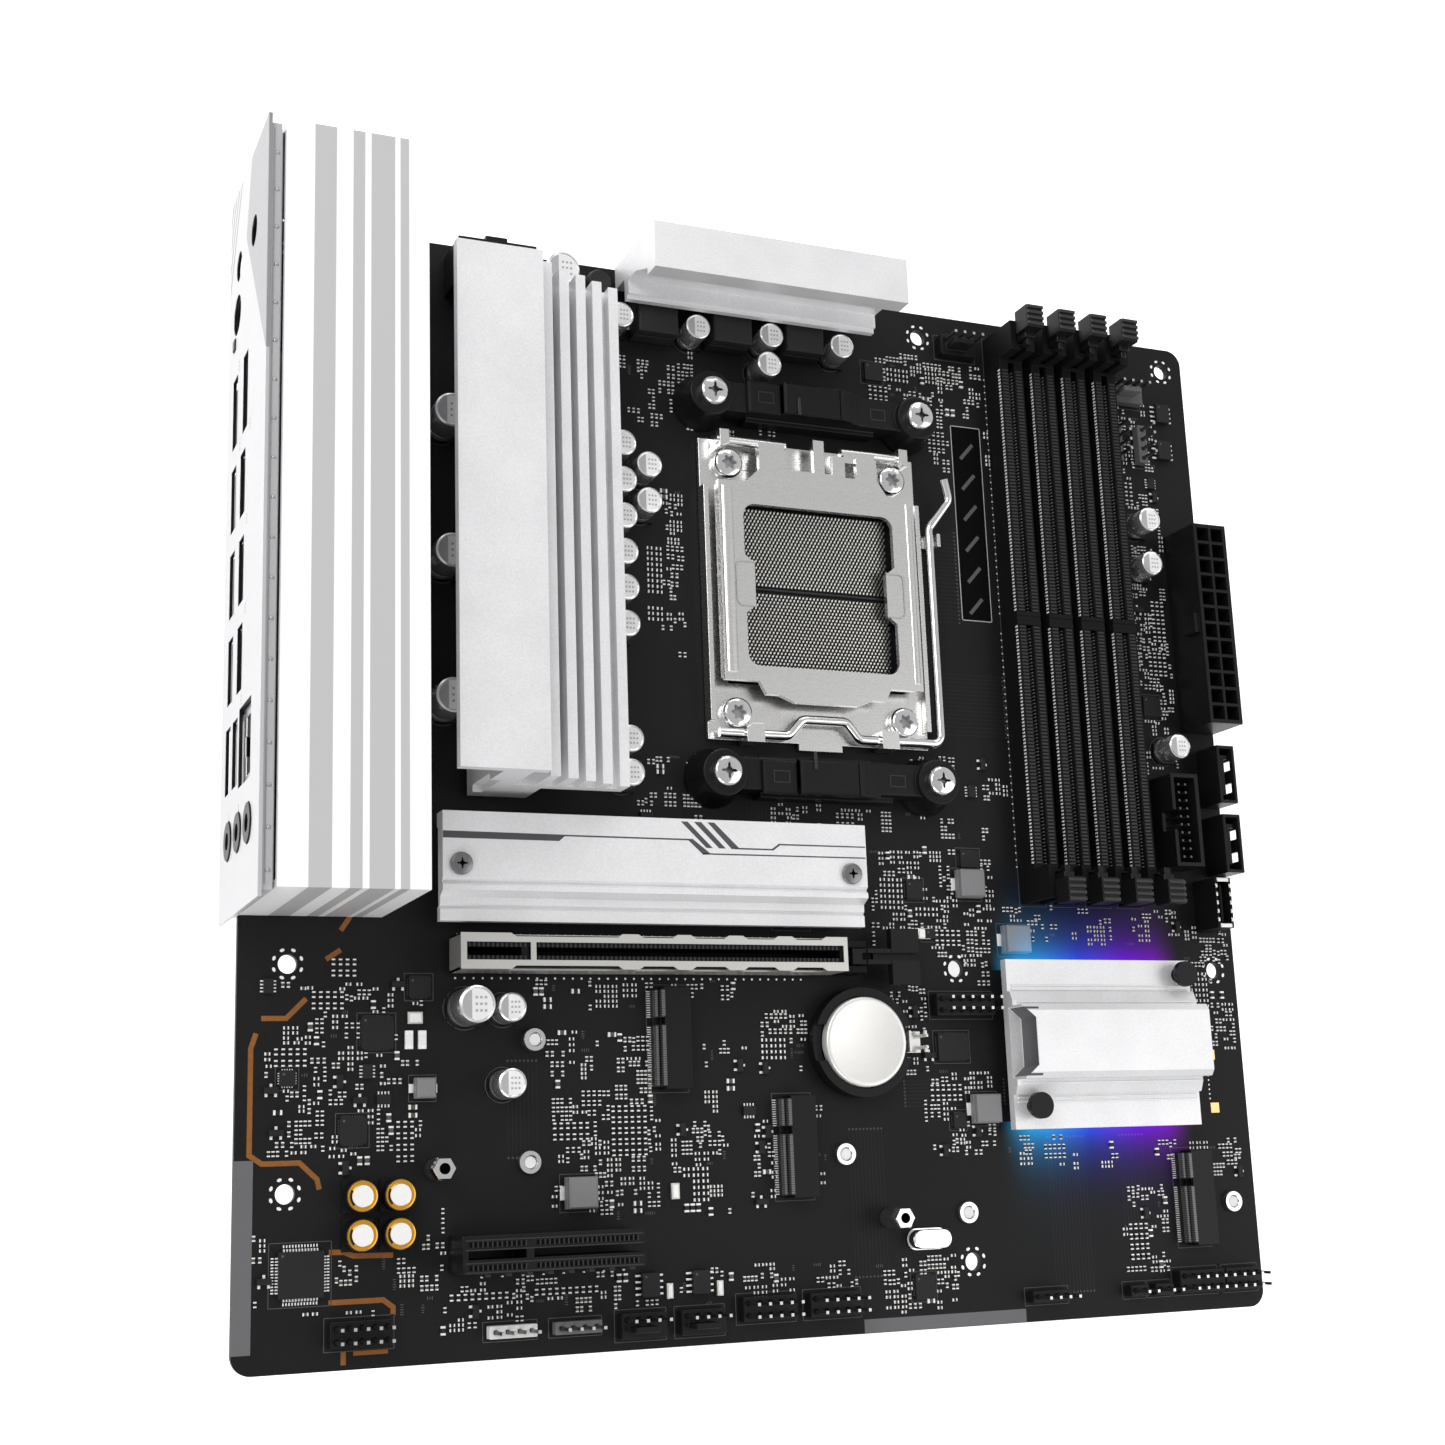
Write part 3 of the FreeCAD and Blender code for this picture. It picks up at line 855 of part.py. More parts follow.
def make_headers():
    """Pin headers: black bases, bare pins, and the coloured fan and light headers."""
    pitch, side = dim("pin_pitch"), dim("pin_side")
    base, tall, tail = dim("pin_base"), dim("pin_tall"), dim("tail")
    thick = dim("board_thickness")
    bases = []
    pins = []

    def pin_at(x, y):
        pins.append(Part.makeBox(side, side, tall + thick + tail - 0.2,
                                 FreeCAD.Vector(x - side / 2, y - side / 2, -thick - tail)))

    def pin_hole(x, y):
        return Part.makeBox(side + 0.1, side + 0.1, 20,
                            FreeCAD.Vector(x - side / 2 - 0.05, y - side / 2 - 0.05, -5))

    def header(x, y, across, up, width, depth, height):
        spots = [(x + pitch * (a + 0.5), y + pitch * (b + 0.5)) for a in range(across) for b in range(up)]
        solid = Part.makeBox(width, depth, height, FreeCAD.Vector(x, y, 0.2))
        for spot in spots:
            pin_at(*spot)
        return solid, spots

    def drilled(solid, spots):
        return solid.cut([pin_hole(*spot) for spot in spots])

    for x, y, across, up in HEADERS:
        bases.append(drilled(*header(x, y, across, up, across * pitch, up * pitch, base)))
    node("pin_header_bases", shape("header_bases", Part.makeCompound(bases)))
    coloured = []
    for x, y in FAN_HEADERS:
        solid, spots = header(x, y + 2.6, 4, 1, 4 * pitch, pitch, base)
        back = Part.makeBox(5.4, 1.2, 7, FreeCAD.Vector(x + 1.6, y + 1.4, 0.2))
        foot = Part.makeBox(4 * pitch, 2.6, base, FreeCAD.Vector(x, y, 0.2))
        coloured.append(drilled(solid.fuse([back, foot]), spots))
    for x, y, along_x in LED_HEADERS:
        across, up = (4, 1) if along_x else (1, 4)
        coloured.append(drilled(*header(x, y, across, up, across * pitch, up * pitch, base)))
    node("fan_and_light_headers", shape("coloured_header_shape", Part.makeCompound(coloured)))
    pitch_two = 2.0
    for row in range(10):
        for column in range(2):
            pin_x = dim("usb_head_x") + 3 + column * pitch_two
            pins.append(Part.makeBox(0.5, 0.5, 5.8,
                                     FreeCAD.Vector(pin_x - 0.25,
                                                    dim("usb_head_y") + 2.5 + row * pitch_two - 0.25,
                                                    1.85)))
    node("header_pins", shape("header_pin_shape", Part.makeCompound(pins)))


def make_small_parts():
    """Capacitors, chokes, chips, drive sockets, standoffs and screws."""
    base = 0.9

    def cans(spots, radius, tall):
        cups = cylinders(spots, radius, tall - base, base)
        feet = [Part.makeBox(2 * radius, 2 * radius, base - 0.1,
                             FreeCAD.Vector(x - radius, y - radius, 0.1)) for x, y in spots]
        return [foot.fuse(cup) for cup, foot in zip(cups, feet)]

    parts = cans(POLYMER_SPOTS, dim("polymer_radius"), dim("polymer_tall"))
    parts += cans(BULK_SPOTS, dim("bulk_radius"), dim("bulk_tall"))
    node("polymer_capacitors", shape("polymer_shape", Part.makeCompound(parts)))
    gold = cans(AUDIO_CAP_SPOTS, dim("audio_cap_radius"), dim("audio_cap_tall"))
    node("audio_capacitors", shape("audio_cap_shape", Part.makeCompound(gold)))

    side, tall = dim("choke_side"), dim("choke_tall")
    spots = [(64.5, y, 0.1) for y in CHOKES_LEFT_Y] + [(x - side / 2, 226.2, 0.1) for x in CHOKES_OVER_X]
    node("vrm_chokes", shape("choke_shape", boxes(spots, (side, side, tall))))
    pads = [Part.makeBox(11, 96, 0.9, FreeCAD.Vector(48.6, 124, 1.15)),
            Part.makeBox(45, 5, 0.9, FreeCAD.Vector(90, 238, 1.15)),
            Part.makeBox(20, 20, 0.9, FreeCAD.Vector(194, 53, 2.45))]
    node("thermal_pads", shape("pad_shape", Part.makeCompound(pads)))
    coils = [Part.makeBox(s, s, 3.6, FreeCAD.Vector(x - s / 2, y - s / 2, 0.1)) for x, y, s in INDUCTORS]
    node("power_inductors", shape("inductor_shape", Part.makeCompound(coils)))
    stages = [(54, y + 5, 5, 5, 1) for y in CHOKES_LEFT_Y] + [(x, 240.5, 5, 5, 1) for x in CHOKES_OVER_X]
    chips = [Part.makeBox(a, b, h, FreeCAD.Vector(x - a / 2, y - b / 2, 0.1))
             for x, y, a, b, h in CHIPS + stages]
    node("ic_packages", shape("chip_shape", Part.makeCompound(chips)))

    sockets = []
    for x, y, long in M2_SOCKETS:
        body = Part.makeBox(6, long, dim("m2_socket_tall") - 0.1, FreeCAD.Vector(x, y, 0.1))
        mouth = Part.makeBox(3.4, long - 2.4, 0.9, FreeCAD.Vector(x - 0.4, y + 1.2, 2.3))
        lip = Part.makeBox(2.2, long - 1, 1.4, FreeCAD.Vector(x - 1.9, y + 0.5, 0.1))
        sockets.append(body.cut(mouth).fuse(lip))
    node("m2_sockets", shape("m2_socket_shape", Part.makeCompound(sockets)))

    mounts = []
    for x, y, tall in M2_MOUNTS:
        ring = Part.makeCylinder(2.75, tall - 0.1, FreeCAD.Vector(x, y, 0.1))
        mounts.append(ring.cut(Part.makeCylinder(1.05, tall + 2, FreeCAD.Vector(x, y, -0.5))))
    for x, y in M2_TALL_MOUNTS:
        hexagon = [FreeCAD.Vector(x + 2.9 * math.cos(k * math.pi / 3), y + 2.9 * math.sin(k * math.pi / 3),
                                  0.1) for k in range(7)]
        solid = Part.Face(Part.makePolygon(hexagon)).extrude(FreeCAD.Vector(0, 0, 8.2))
        mounts.append(solid.cut(Part.makeCylinder(1.05, 10, FreeCAD.Vector(x, y, 1))))
    node("m2_standoffs", shape("m2_mount_shape", Part.makeCompound(mounts)))

    screws = []
    thick, head_tall = dim("board_thickness"), 1.4
    for spots, top in ((LEFT_SCREWS + OVER_SCREWS, dim("sink_screw_top")),
                       (COVER_SCREWS, dim("cover_screw_top"))):
        heads = cylinders(spots, 2.6, head_tall, -thick - head_tall)
        stems = cylinders(spots, dim("sink_screw"), thick + top, -thick)
        screws += [head.fuse(stem) for head, stem in zip(heads, stems)]
    node("heatsink_screws", shape("heatsink_screw_shape", Part.makeCompound(screws)))


def make_rear_ports():
    """The rear ports behind the plate, and the push button between them."""
    front, back = dim("port_front"), dim("port_back")
    deep = back - front
    wide, mouth_wide, mouth_tall = dim("usb_wide"), dim("usb_mouth_wide"), dim("usb_mouth_tall")

    def mouth(y, z, width, height, depth):
        return Part.makeBox(depth + 1, width, height,
                            FreeCAD.Vector(front - 1, y - width / 2, z - height / 2))

    def tongue(y, z, width, height, length):
        return Part.makeBox(length, width, height,
                            FreeCAD.Vector(front + 10 - length, y - width / 2, z - height / 2))

    stacks = []
    for y, rows in USB_STACKS:
        top = rows[-1] + 4.4
        solid = Part.makeBox(deep, wide, top - 0.2, FreeCAD.Vector(front, y - wide / 2, 0.2))
        for z in rows:
            solid = solid.cut(mouth(y, z, mouth_wide, mouth_tall, dim("usb_deep")))
            solid = solid.fuse(tongue(y, z + 0.9, mouth_wide - 2, 1.7, 8.4))
        stacks.append(solid)
    node("rear_usb_ports", shape("usb_port_shape", Part.makeCompound(stacks)))
    lan = Part.makeBox(deep + 4, 16, 14.4, FreeCAD.Vector(front, 112.5, 17))
    lan = lan.cut([mouth(120.5, 24, 11.8, 8.4, 12), mouth(120.5, 28.9, 6.2, 1.8, 12),
                   mouth(120.5, 19.4, 4, 1.2, 12)])
    node("lan_port", shape("lan_shape", lan))
    video = []
    for y, z, width, height in ((195.4, 5.5, 14.6, 5), (195.6, 17.8, 15.8, 4.8)):
        shell = Part.makeBox(deep - 2, width + 1.2, height + 1.2,
                             FreeCAD.Vector(front, y - width / 2 - 0.6, z - height / 2 - 0.6))
        shell = shell.cut(mouth(y, z, width, height, 9)).fuse(tongue(y, z + 0.4, width - 3, 1, 8.4))
        video.append(shell)
    pillar = Part.makeBox(deep - 2, 14, 2.2, FreeCAD.Vector(front, 188.6, 0.2))
    spacer = Part.makeBox(deep - 2, 14, 6.2, FreeCAD.Vector(front, 188.6, 8.6))
    node("rear_video_ports", shape("video_shape", video[0].fuse([pillar, spacer, video[1]])))
    ring = Part.makeBox(12, 14, 12.6, FreeCAD.Vector(front + 1.2, 214, 0.2))
    nose = Part.makeCylinder(4.2, 3, FreeCAD.Vector(front - 0.5, 217.4, 6.2), FreeCAD.Vector(1, 0, 0))
    bore = Part.makeCylinder(3.6, 8, FreeCAD.Vector(front - 1, 217.4, 6.2), FreeCAD.Vector(1, 0, 0))
    node("ps2_port", shape("ps2_shape", ring.fuse(nose).cut(bore)))
    body = Part.makeBox(12, 11, 34.6, FreeCAD.Vector(front + 1.4, dim("jack_y") - 5.5, 0.2))
    for z in JACK_HEIGHTS:
        nose = Part.makeCylinder(dim("jack_radius"), 3.4, FreeCAD.Vector(front - 1.4, dim("jack_y"), z),
                                 FreeCAD.Vector(1, 0, 0))
        bore = Part.makeCylinder(dim("jack_bore"), 14, FreeCAD.Vector(front - 2, dim("jack_y"), z),
                                 FreeCAD.Vector(1, 0, 0))
        body = body.fuse(nose).cut(bore)
    node("audio_jacks", shape("jack_shape", body))
    y, z, side = dim("button_y"), dim("button_z"), dim("button_side")
    stem = Part.makeBox(4.2, side, side, FreeCAD.Vector(-3.6, y - side / 2, z - side / 2))
    node("flashback_button", shape("button_shape", stem))
    switch = Part.makeBox(4, 4.2, 6, FreeCAD.Vector(1.3, y - 2.1, 0.2))
    node("flashback_switch", shape("switch_shape", switch))


def export():
    """Check every object, then write one file for each node."""
    doc.recompute()
    for thing in doc.Objects:
        if {"Invalid", "Error"} & set(thing.State):
            raise RuntimeError(f"{thing.Name} is {thing.State}")
    os.makedirs("parts", exist_ok=True)
    for thing in nodes:
        if thing.Shape.isNull() or not thing.Shape.isValid():
            raise RuntimeError(thing.Label + " has no valid shape")
        thing.Shape.exportStep(f"parts/{thing.Label}.step")
        solids, volume = len(thing.Shape.Solids), thing.Shape.Volume
        print(f"{thing.Label}: {solids} solids, {volume:.0f} mm3")
    print(len(nodes), "nodes")


sheet = write_sheet()
make_pcb()
make_io_shield()
make_io_cover()
make_heatsink_left()
make_heatsink_over()
make_m2_heatsink()
make_chipset()
make_socket()
make_load_plate()
make_lever()
make_cooler_brackets()
make_dimm_slots()
make_dimm_latches()
make_expansion_slots()
make_cell()
power_header("atx_power_connector", dim("atx_x"), dim("atx_y"), 12, 2, "x")
power_header("cpu_power_connector", dim("eps_x"), dim("eps_y"), 4, 2, "y")
make_front_connectors()
make_headers()
make_small_parts()
make_rear_ports()
export()
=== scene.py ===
"""The looks of the motherboard: materials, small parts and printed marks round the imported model.

Pieces are drawn in board millimetres: x from the rear edge, y from the slot edge, z up from the face
that carries the parts.  Builder.finish turns them into the part frame, in metres.
"""
import itertools
import math
import random

import bpy
from mathutils import Matrix, Vector
from mathutils.bvhtree import BVHTree


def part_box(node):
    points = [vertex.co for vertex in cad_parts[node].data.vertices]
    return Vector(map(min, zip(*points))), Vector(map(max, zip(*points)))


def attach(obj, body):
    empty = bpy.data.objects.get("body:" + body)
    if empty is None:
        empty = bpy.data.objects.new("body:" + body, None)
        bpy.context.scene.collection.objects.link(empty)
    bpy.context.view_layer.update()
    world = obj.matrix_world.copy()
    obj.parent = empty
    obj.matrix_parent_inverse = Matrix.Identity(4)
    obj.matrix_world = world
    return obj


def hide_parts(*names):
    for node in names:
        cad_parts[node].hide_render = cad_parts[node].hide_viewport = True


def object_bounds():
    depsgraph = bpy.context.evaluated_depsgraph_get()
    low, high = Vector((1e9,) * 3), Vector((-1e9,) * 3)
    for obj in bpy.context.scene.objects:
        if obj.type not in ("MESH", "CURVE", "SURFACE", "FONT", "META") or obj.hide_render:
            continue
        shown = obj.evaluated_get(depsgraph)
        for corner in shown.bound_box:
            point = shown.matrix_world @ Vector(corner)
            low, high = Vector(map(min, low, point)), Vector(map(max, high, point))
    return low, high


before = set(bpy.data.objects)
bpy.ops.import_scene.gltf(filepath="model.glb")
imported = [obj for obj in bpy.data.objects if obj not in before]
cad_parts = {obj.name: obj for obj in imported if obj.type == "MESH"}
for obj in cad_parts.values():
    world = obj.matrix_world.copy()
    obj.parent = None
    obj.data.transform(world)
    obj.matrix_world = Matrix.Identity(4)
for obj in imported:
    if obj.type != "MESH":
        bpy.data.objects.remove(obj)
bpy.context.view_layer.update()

MM = 0.001
ORIGIN = (123.825, 158.75, -1.6)  # the part frame's zero point, in board millimetres
HOLES = [(10.16, 80.01), (10.16, 34.29), (165.1, 80.01), (165.1, 13.97), (165.1, 237.49), (237.49, 237.49),
         (237.49, 80.01), (10.16, 237.49)]
SOCKET_X, SOCKET_Y = 132.2, 167.5
SINK_X, SINK_Y = 201.0, 62.25
NAME_PANEL = (173, 165, 181, 215)
PRINT_LIFT = 0.02
HALF_TURN = math.pi
TURN = 2 * HALF_TURN
rng = random.Random(7)  # the small parts and ticks are drawn from this, in the order of the calls below
FLOOR_GAP = 0.06
CAMERA = {"place": (-0.1926, -0.1242, 0.4159), "target": (-0.0148, -0.0226, 0.0),
          "up": (-0.053, 0.975, 0.216), "lens": 50.4}


# ---------------------------------------------------------------- materials

def links(tree, *pairs):
    """Join pairs of sockets."""
    for source, target in pairs:
        tree.links.new(source, target)


def node(tree, kind, **values):
    """A shader node with some of its properties or inputs set."""
    made = tree.nodes.new("ShaderNode" + kind)
    for key, value in values.items():
        if key in made.inputs:
            made.inputs[key].default_value = value
        else:
            setattr(made, key, value)
    return made


def ramp(tree, stops, constant=False):
    """A colour ramp from (place, colour) pairs."""
    made = tree.nodes.new("ShaderNodeValToRGB")
    made.color_ramp.interpolation = "CONSTANT" if constant else "LINEAR"
    marks = made.color_ramp.elements
    while len(marks) < len(stops):
        marks.new(1.0)
    for mark, (place, colour) in zip(marks, stops):
        mark.position = place
        mark.color = (*colour, 1)
    return made


def tint(colour, amount):
    """A colour made lighter or darker."""
    return tuple(min(1, max(0, channel * amount)) for channel in colour)


def finish_of(name, colour, rough, grain, vary, metal=0.0, bump=0.15, relief=0.02, spread=0.08,
              stretch=(1, 1, 1), coat=0.0, shine=0.5):
    """A surface with its own grain: colour, roughness and relief all follow one fine noise."""
    made = bpy.data.materials.new(name)
    made.use_nodes = True
    tree = made.node_tree
    surface = tree.nodes["Principled BSDF"]
    place = node(tree, "TexCoord")
    turned = node(tree, "Mapping")
    turned.inputs["Scale"].default_value = stretch
    fine = node(tree, "TexNoise", Scale=grain, Detail=5.0, Roughness=0.62)
    broad = node(tree, "TexNoise", Scale=grain / 28, Detail=2.0)
    mixed = node(tree, "Math", operation="MULTIPLY_ADD")
    mixed.inputs[1].default_value = 0.65
    soft = node(tree, "Math", operation="MULTIPLY")
    soft.inputs[1].default_value = 0.35
    hues = ramp(tree, [(0.25, tint(colour, 1 - vary)), (0.75, tint(colour, 1 + vary))])
    rougher = node(tree, "MapRange")
    rougher.inputs["To Min"].default_value = max(0.02, rough - spread)
    rougher.inputs["To Max"].default_value = min(1, rough + spread)
    relief_node = node(tree, "Bump", Strength=bump, Distance=relief * MM)
    links(tree, (place.outputs["Object"], turned.inputs["Vector"]),
          (turned.outputs["Vector"], fine.inputs["Vector"]),
          (turned.outputs["Vector"], broad.inputs["Vector"]), (broad.outputs["Fac"], soft.inputs[0]),
          (fine.outputs["Fac"], mixed.inputs[0]), (soft.outputs[0], mixed.inputs[2]),
          (mixed.outputs[0], hues.inputs[0]), (hues.outputs["Color"], surface.inputs["Base Color"]),
          (fine.outputs["Fac"], rougher.inputs["Value"]),
          (rougher.outputs["Result"], surface.inputs["Roughness"]),
          (fine.outputs["Fac"], relief_node.inputs["Height"]),
          (relief_node.outputs["Normal"], surface.inputs["Normal"]))
    surface.inputs["Metallic"].default_value = metal
    surface.inputs["Coat Weight"].default_value = coat
    surface.inputs["Specular IOR Level"].default_value = shine
    return made


def colour_input(made):
    """The link that carries a material's colour, so that a print can be laid over it."""
    tree = made.node_tree
    surface = tree.nodes["Principled BSDF"]
    return tree, surface, surface.inputs["Base Color"].links[0].from_socket


def part_axes(tree):
    """The three coordinates in the part frame, in metres."""
    place = node(tree, "TexCoord")
    split = node(tree, "SeparateXYZ")
    links(tree, (place.outputs["Object"], split.inputs[0]))
    return split.outputs


def math_node(tree, operation, first, second, third=None):
    """One sum on sockets or numbers."""
    made = node(tree, "Math", operation=operation)
    for index, value in enumerate((first, second, third)):
        if isinstance(value, (int, float)):
            made.inputs[index].default_value = value
        elif value is not None:
            tree.links.new(value, made.inputs[index])
    return made.outputs[0]


def product(tree, first, *others):
    """Several sockets multiplied."""
    for other in others:
        first = math_node(tree, "MULTIPLY", first, other)
    return first


def between(tree, value, low, high):
    """1 where a value lies between two numbers."""
    return product(tree, math_node(tree, "GREATER_THAN", value, low),
                   math_node(tree, "LESS_THAN", value, high))


def bands(tree, value, spans):
    """1 where a value lies in any of the spans."""
    total = None
    for low, high in spans:
        band = between(tree, value, low, high)
        total = band if total is None else math_node(tree, "ADD", total, band)
    return total


def print_over(made, mask, colour):
    """Lay a printed colour over a material where the mask is 1."""
    tree, surface, under = colour_input(made)
    mixer = node(tree, "Mix", data_type="RGBA")
    tree.links.new(mask, mixer.inputs["Factor"])
    tree.links.new(under, mixer.inputs[6])
    mixer.inputs[7].default_value = (*colour, 1)
    tree.links.new(mixer.outputs[2], surface.inputs["Base Color"])


M = {}  # the materials by name

# each surface's colour, roughness, grain and colour variation, then what else isn't as finish_of has it
SURFACES = {
    "mask": ((0.0062, 0.0062, 0.0066), 0.5, 1400, 0.25, dict(bump=0.2, relief=0.01, shine=0.18)),
    "cover": ((0.85, 0.85, 0.855), 0.24, 2600, 0.01, dict(bump=0.03, coat=0.3)),
    "blasted": ((0.76, 0.76, 0.77), 0.42, 2300, 0.13, dict(metal=0.45, bump=0.6, relief=0.03)),
    "plate": ((0.50, 0.50, 0.51), 0.34, 2600, 0.05, dict(metal=0.35, bump=0.12)),
    "steel": ((0.76, 0.755, 0.745), 0.28, 700, 0.03, dict(metal=1.0, bump=0.015, stretch=(1, 9, 1))),
    "spring_steel": ((0.62, 0.61, 0.59), 0.28, 900, 0.08, dict(metal=1.0, stretch=(7, 1, 1))),
    "chrome": ((0.80, 0.80, 0.80), 0.12, 1200, 0.04, dict(metal=1.0, bump=0.04)),
    "screw_grey": ((0.22, 0.22, 0.225), 0.3, 1200, 0.08, dict(metal=0.9)),
    "black": ((0.0058, 0.0058, 0.0062), 0.36, 1700, 0.3, dict(bump=0.25, relief=0.02, shine=0.2)),
    "black_matt": ((0.004, 0.004, 0.0045), 0.6, 2100, 0.3, dict(bump=0.3, relief=0.02, shine=0.15)),
    "rib_black": ((0.022, 0.022, 0.023), 0.34, 1700, 0.25, dict(shine=0.35)),
    "epoxy": ((0.010, 0.010, 0.0108), 0.5, 2600, 0.3, dict(bump=0.35, relief=0.02, shine=0.25)),
    "white_plastic": ((0.74, 0.73, 0.72), 0.4, 1800, 0.05, dict(bump=0.15)),
    "can": ((0.74, 0.74, 0.75), 0.24, 700, 0.03, dict(metal=0.9, bump=0.03, spread=0.04)),
    "can_mark": ((0.40, 0.40, 0.41), 0.4, 1500, 0.06, dict(metal=0.3)),
    "can_top": ((0.80, 0.80, 0.80), 0.36, 2400, 0.04, dict(metal=0.25, bump=0.1)),
    "gold_sleeve": ((0.72, 0.36, 0.045), 0.2, 700, 0.05, dict(metal=0.8, bump=0.04)),
    "ferrite": ((0.013, 0.013, 0.014), 0.6, 2600, 0.35, dict(bump=0.5, relief=0.03, shine=0.3)),
    "ferrite_grey": ((0.17, 0.17, 0.175), 0.5, 2600, 0.10, dict(bump=0.3, relief=0.02)),
    "solder": ((0.85, 0.85, 0.84), 0.36, 2000, 0.10, dict(metal=0.25, bump=0.2)),
    "gold": ((0.72, 0.50, 0.22), 0.24, 2000, 0.1, dict(metal=1.0)),
    "pin": ((0.10, 0.10, 0.10), 0.3, 2000, 0.1, dict(metal=0.9)),
    "pale_gold": ((0.66, 0.65, 0.61), 0.3, 2000, 0.12, dict(metal=0.8)),
    "comb": ((0.16, 0.16, 0.158), 0.35, 2000, 0.12, dict(metal=0.6)),
    "silk": ((0.40, 0.40, 0.40), 0.55, 3000, 0.15, dict(bump=0.2)),
    "silk_dim": ((0.075, 0.075, 0.077), 0.55, 3000, 0.2, dict(bump=0.2, shine=0.3)),
    "strip_grey": ((0.115, 0.115, 0.12), 0.45, 1600, 0.06, dict(shine=0.3)),
    "orange": ((0.22, 0.08, 0.014), 0.42, 1200, 0.3, dict(shine=0.3)),
    "trace": ((0.0088, 0.0088, 0.0092), 0.45, 1500, 0.2, dict(shine=0.22)),
    "ceramic": ((0.07, 0.06, 0.052), 0.45, 2400, 0.25, dict()),
    "resistor": ((0.012, 0.012, 0.013), 0.4, 2400, 0.3, dict(shine=0.3)),
    "port": ((0.42, 0.42, 0.43), 0.3, 1500, 0.08, dict(metal=0.95)),
    # inside: near black used as painted shade in mouths, holes, bores and recesses; the name panel is
    # printed with it too
    "inside": ((0.0022, 0.0022, 0.0025), 0.7, 1500, 0.3, dict(shine=0.05)),
    "pink": ((0.60, 0.20, 0.18), 0.4, 1600, 0.08, dict()),
    "green": ((0.30, 0.46, 0.17), 0.4, 1600, 0.08, dict()),
    "blue": ((0.10, 0.22, 0.52), 0.4, 1600, 0.08, dict()),
    "cell": ((0.78, 0.77, 0.75), 0.36, 1500, 0.05, dict(metal=0.6, bump=0.1)),
    "back_coat": ((0.02, 0.02, 0.021), 0.4, 1500, 0.2, dict(metal=0.3, shine=0.3)),
    "pad": ((0.30, 0.32, 0.35), 0.7, 1500, 0.12, dict()),
    "rail_plate": ((0.62, 0.61, 0.58), 0.32, 1500, 0.06, dict(metal=0.8, stretch=(1, 6, 1))),
    "dark_print": ((0.07, 0.07, 0.074), 0.4, 2400, 0.10, dict(metal=0.3)),
    "floor": ((0.93, 0.93, 0.93), 0.7, 40, 0.006, dict(bump=0.01, shine=0.1)),
}


def make_materials():
    """Every surface of the board."""
    for name, (colour, rough, grain, vary, others) in SURFACES.items():
        M[name] = finish_of(name, colour, rough, grain, vary, **others)
    surface = M["floor"].node_tree.nodes["Principled BSDF"]
    surface.inputs["Emission Color"].default_value = (1, 1, 1, 1)
    surface.inputs["Emission Strength"].default_value = 0.55
    cover_stripes()
    plate_print_and_shade()
    for name in ("mask", "ferrite_grey", "silk_dim", "trace"):
        board_glow(M[name])
    header_colours_and_pin_highlight()
    sink_recess()


def cover_stripes():
    """Four grey bands that run the length of the cover and down its ends."""
    tree = M["cover"].node_tree
    spans = [((low - ORIGIN[0]) * MM, (high - ORIGIN[0]) * MM)
             for low, high in ((6.0, 10.4), (13.8, 16.2), (17.5, 22.4), (23.5, 25.3))]
    print_over(M["cover"], bands(tree, part_axes(tree)["X"], spans), (0.46, 0.46, 0.465))


def plate_print_and_shade():
    """The rear plate's printed darker wedge and the four slashes beside it, and painted shade: near black
    on the plate where it lies back from its outer face, over the ports.
    """
    tree = M["plate"].node_tree
    along, up = board_axis(tree, "Y"), board_axis(tree, "Z")
    past = math_node(tree, "SUBTRACT", along, 230.5)
    edge = math_node(tree, "MAXIMUM", product(tree, past, 0.33), product(tree, past, -0.71))
    rise = math_node(tree, "SUBTRACT", up, edge)
    outer = math_node(tree, "LESS_THAN", board_axis(tree, "X"), -2.4)
    wedge = product(tree, math_node(tree, "GREATER_THAN", rise, 16.3), outer)
    print_over(M["plate"], wedge, (0.27, 0.27, 0.28))
    lean = math_node(tree, "MULTIPLY_ADD", math_node(tree, "SUBTRACT", along, 246.75), -0.64, up)
    half = 0.55
    slashes = bands(tree, lean, [(start - half, start + half) for start in (-0.4, 3.1, 6.6, 10.1)])
    near = math_node(tree, "LESS_THAN", rise, 11.5)
    print_over(M["plate"], product(tree, slashes, outer, near,
                                   math_node(tree, "GREATER_THAN", along, 222.5)), (0.10, 0.10, 0.105))
    # painted shade: near black on the plate back from its outer face, across the ports
    behind = between(tree, board_axis(tree, "X"), -3.2, -2.3)
    print_over(M["plate"], product(tree, behind, between(tree, along, 94.0, 242.0),
                                   between(tree, up, -2.5, 37.5)), (0.006, 0.006, 0.006))


def distance_from(tree, value, middle):
    """How far a value is from a number, either way."""
    return math_node(tree, "ABSOLUTE", math_node(tree, "SUBTRACT", value, middle), 0)


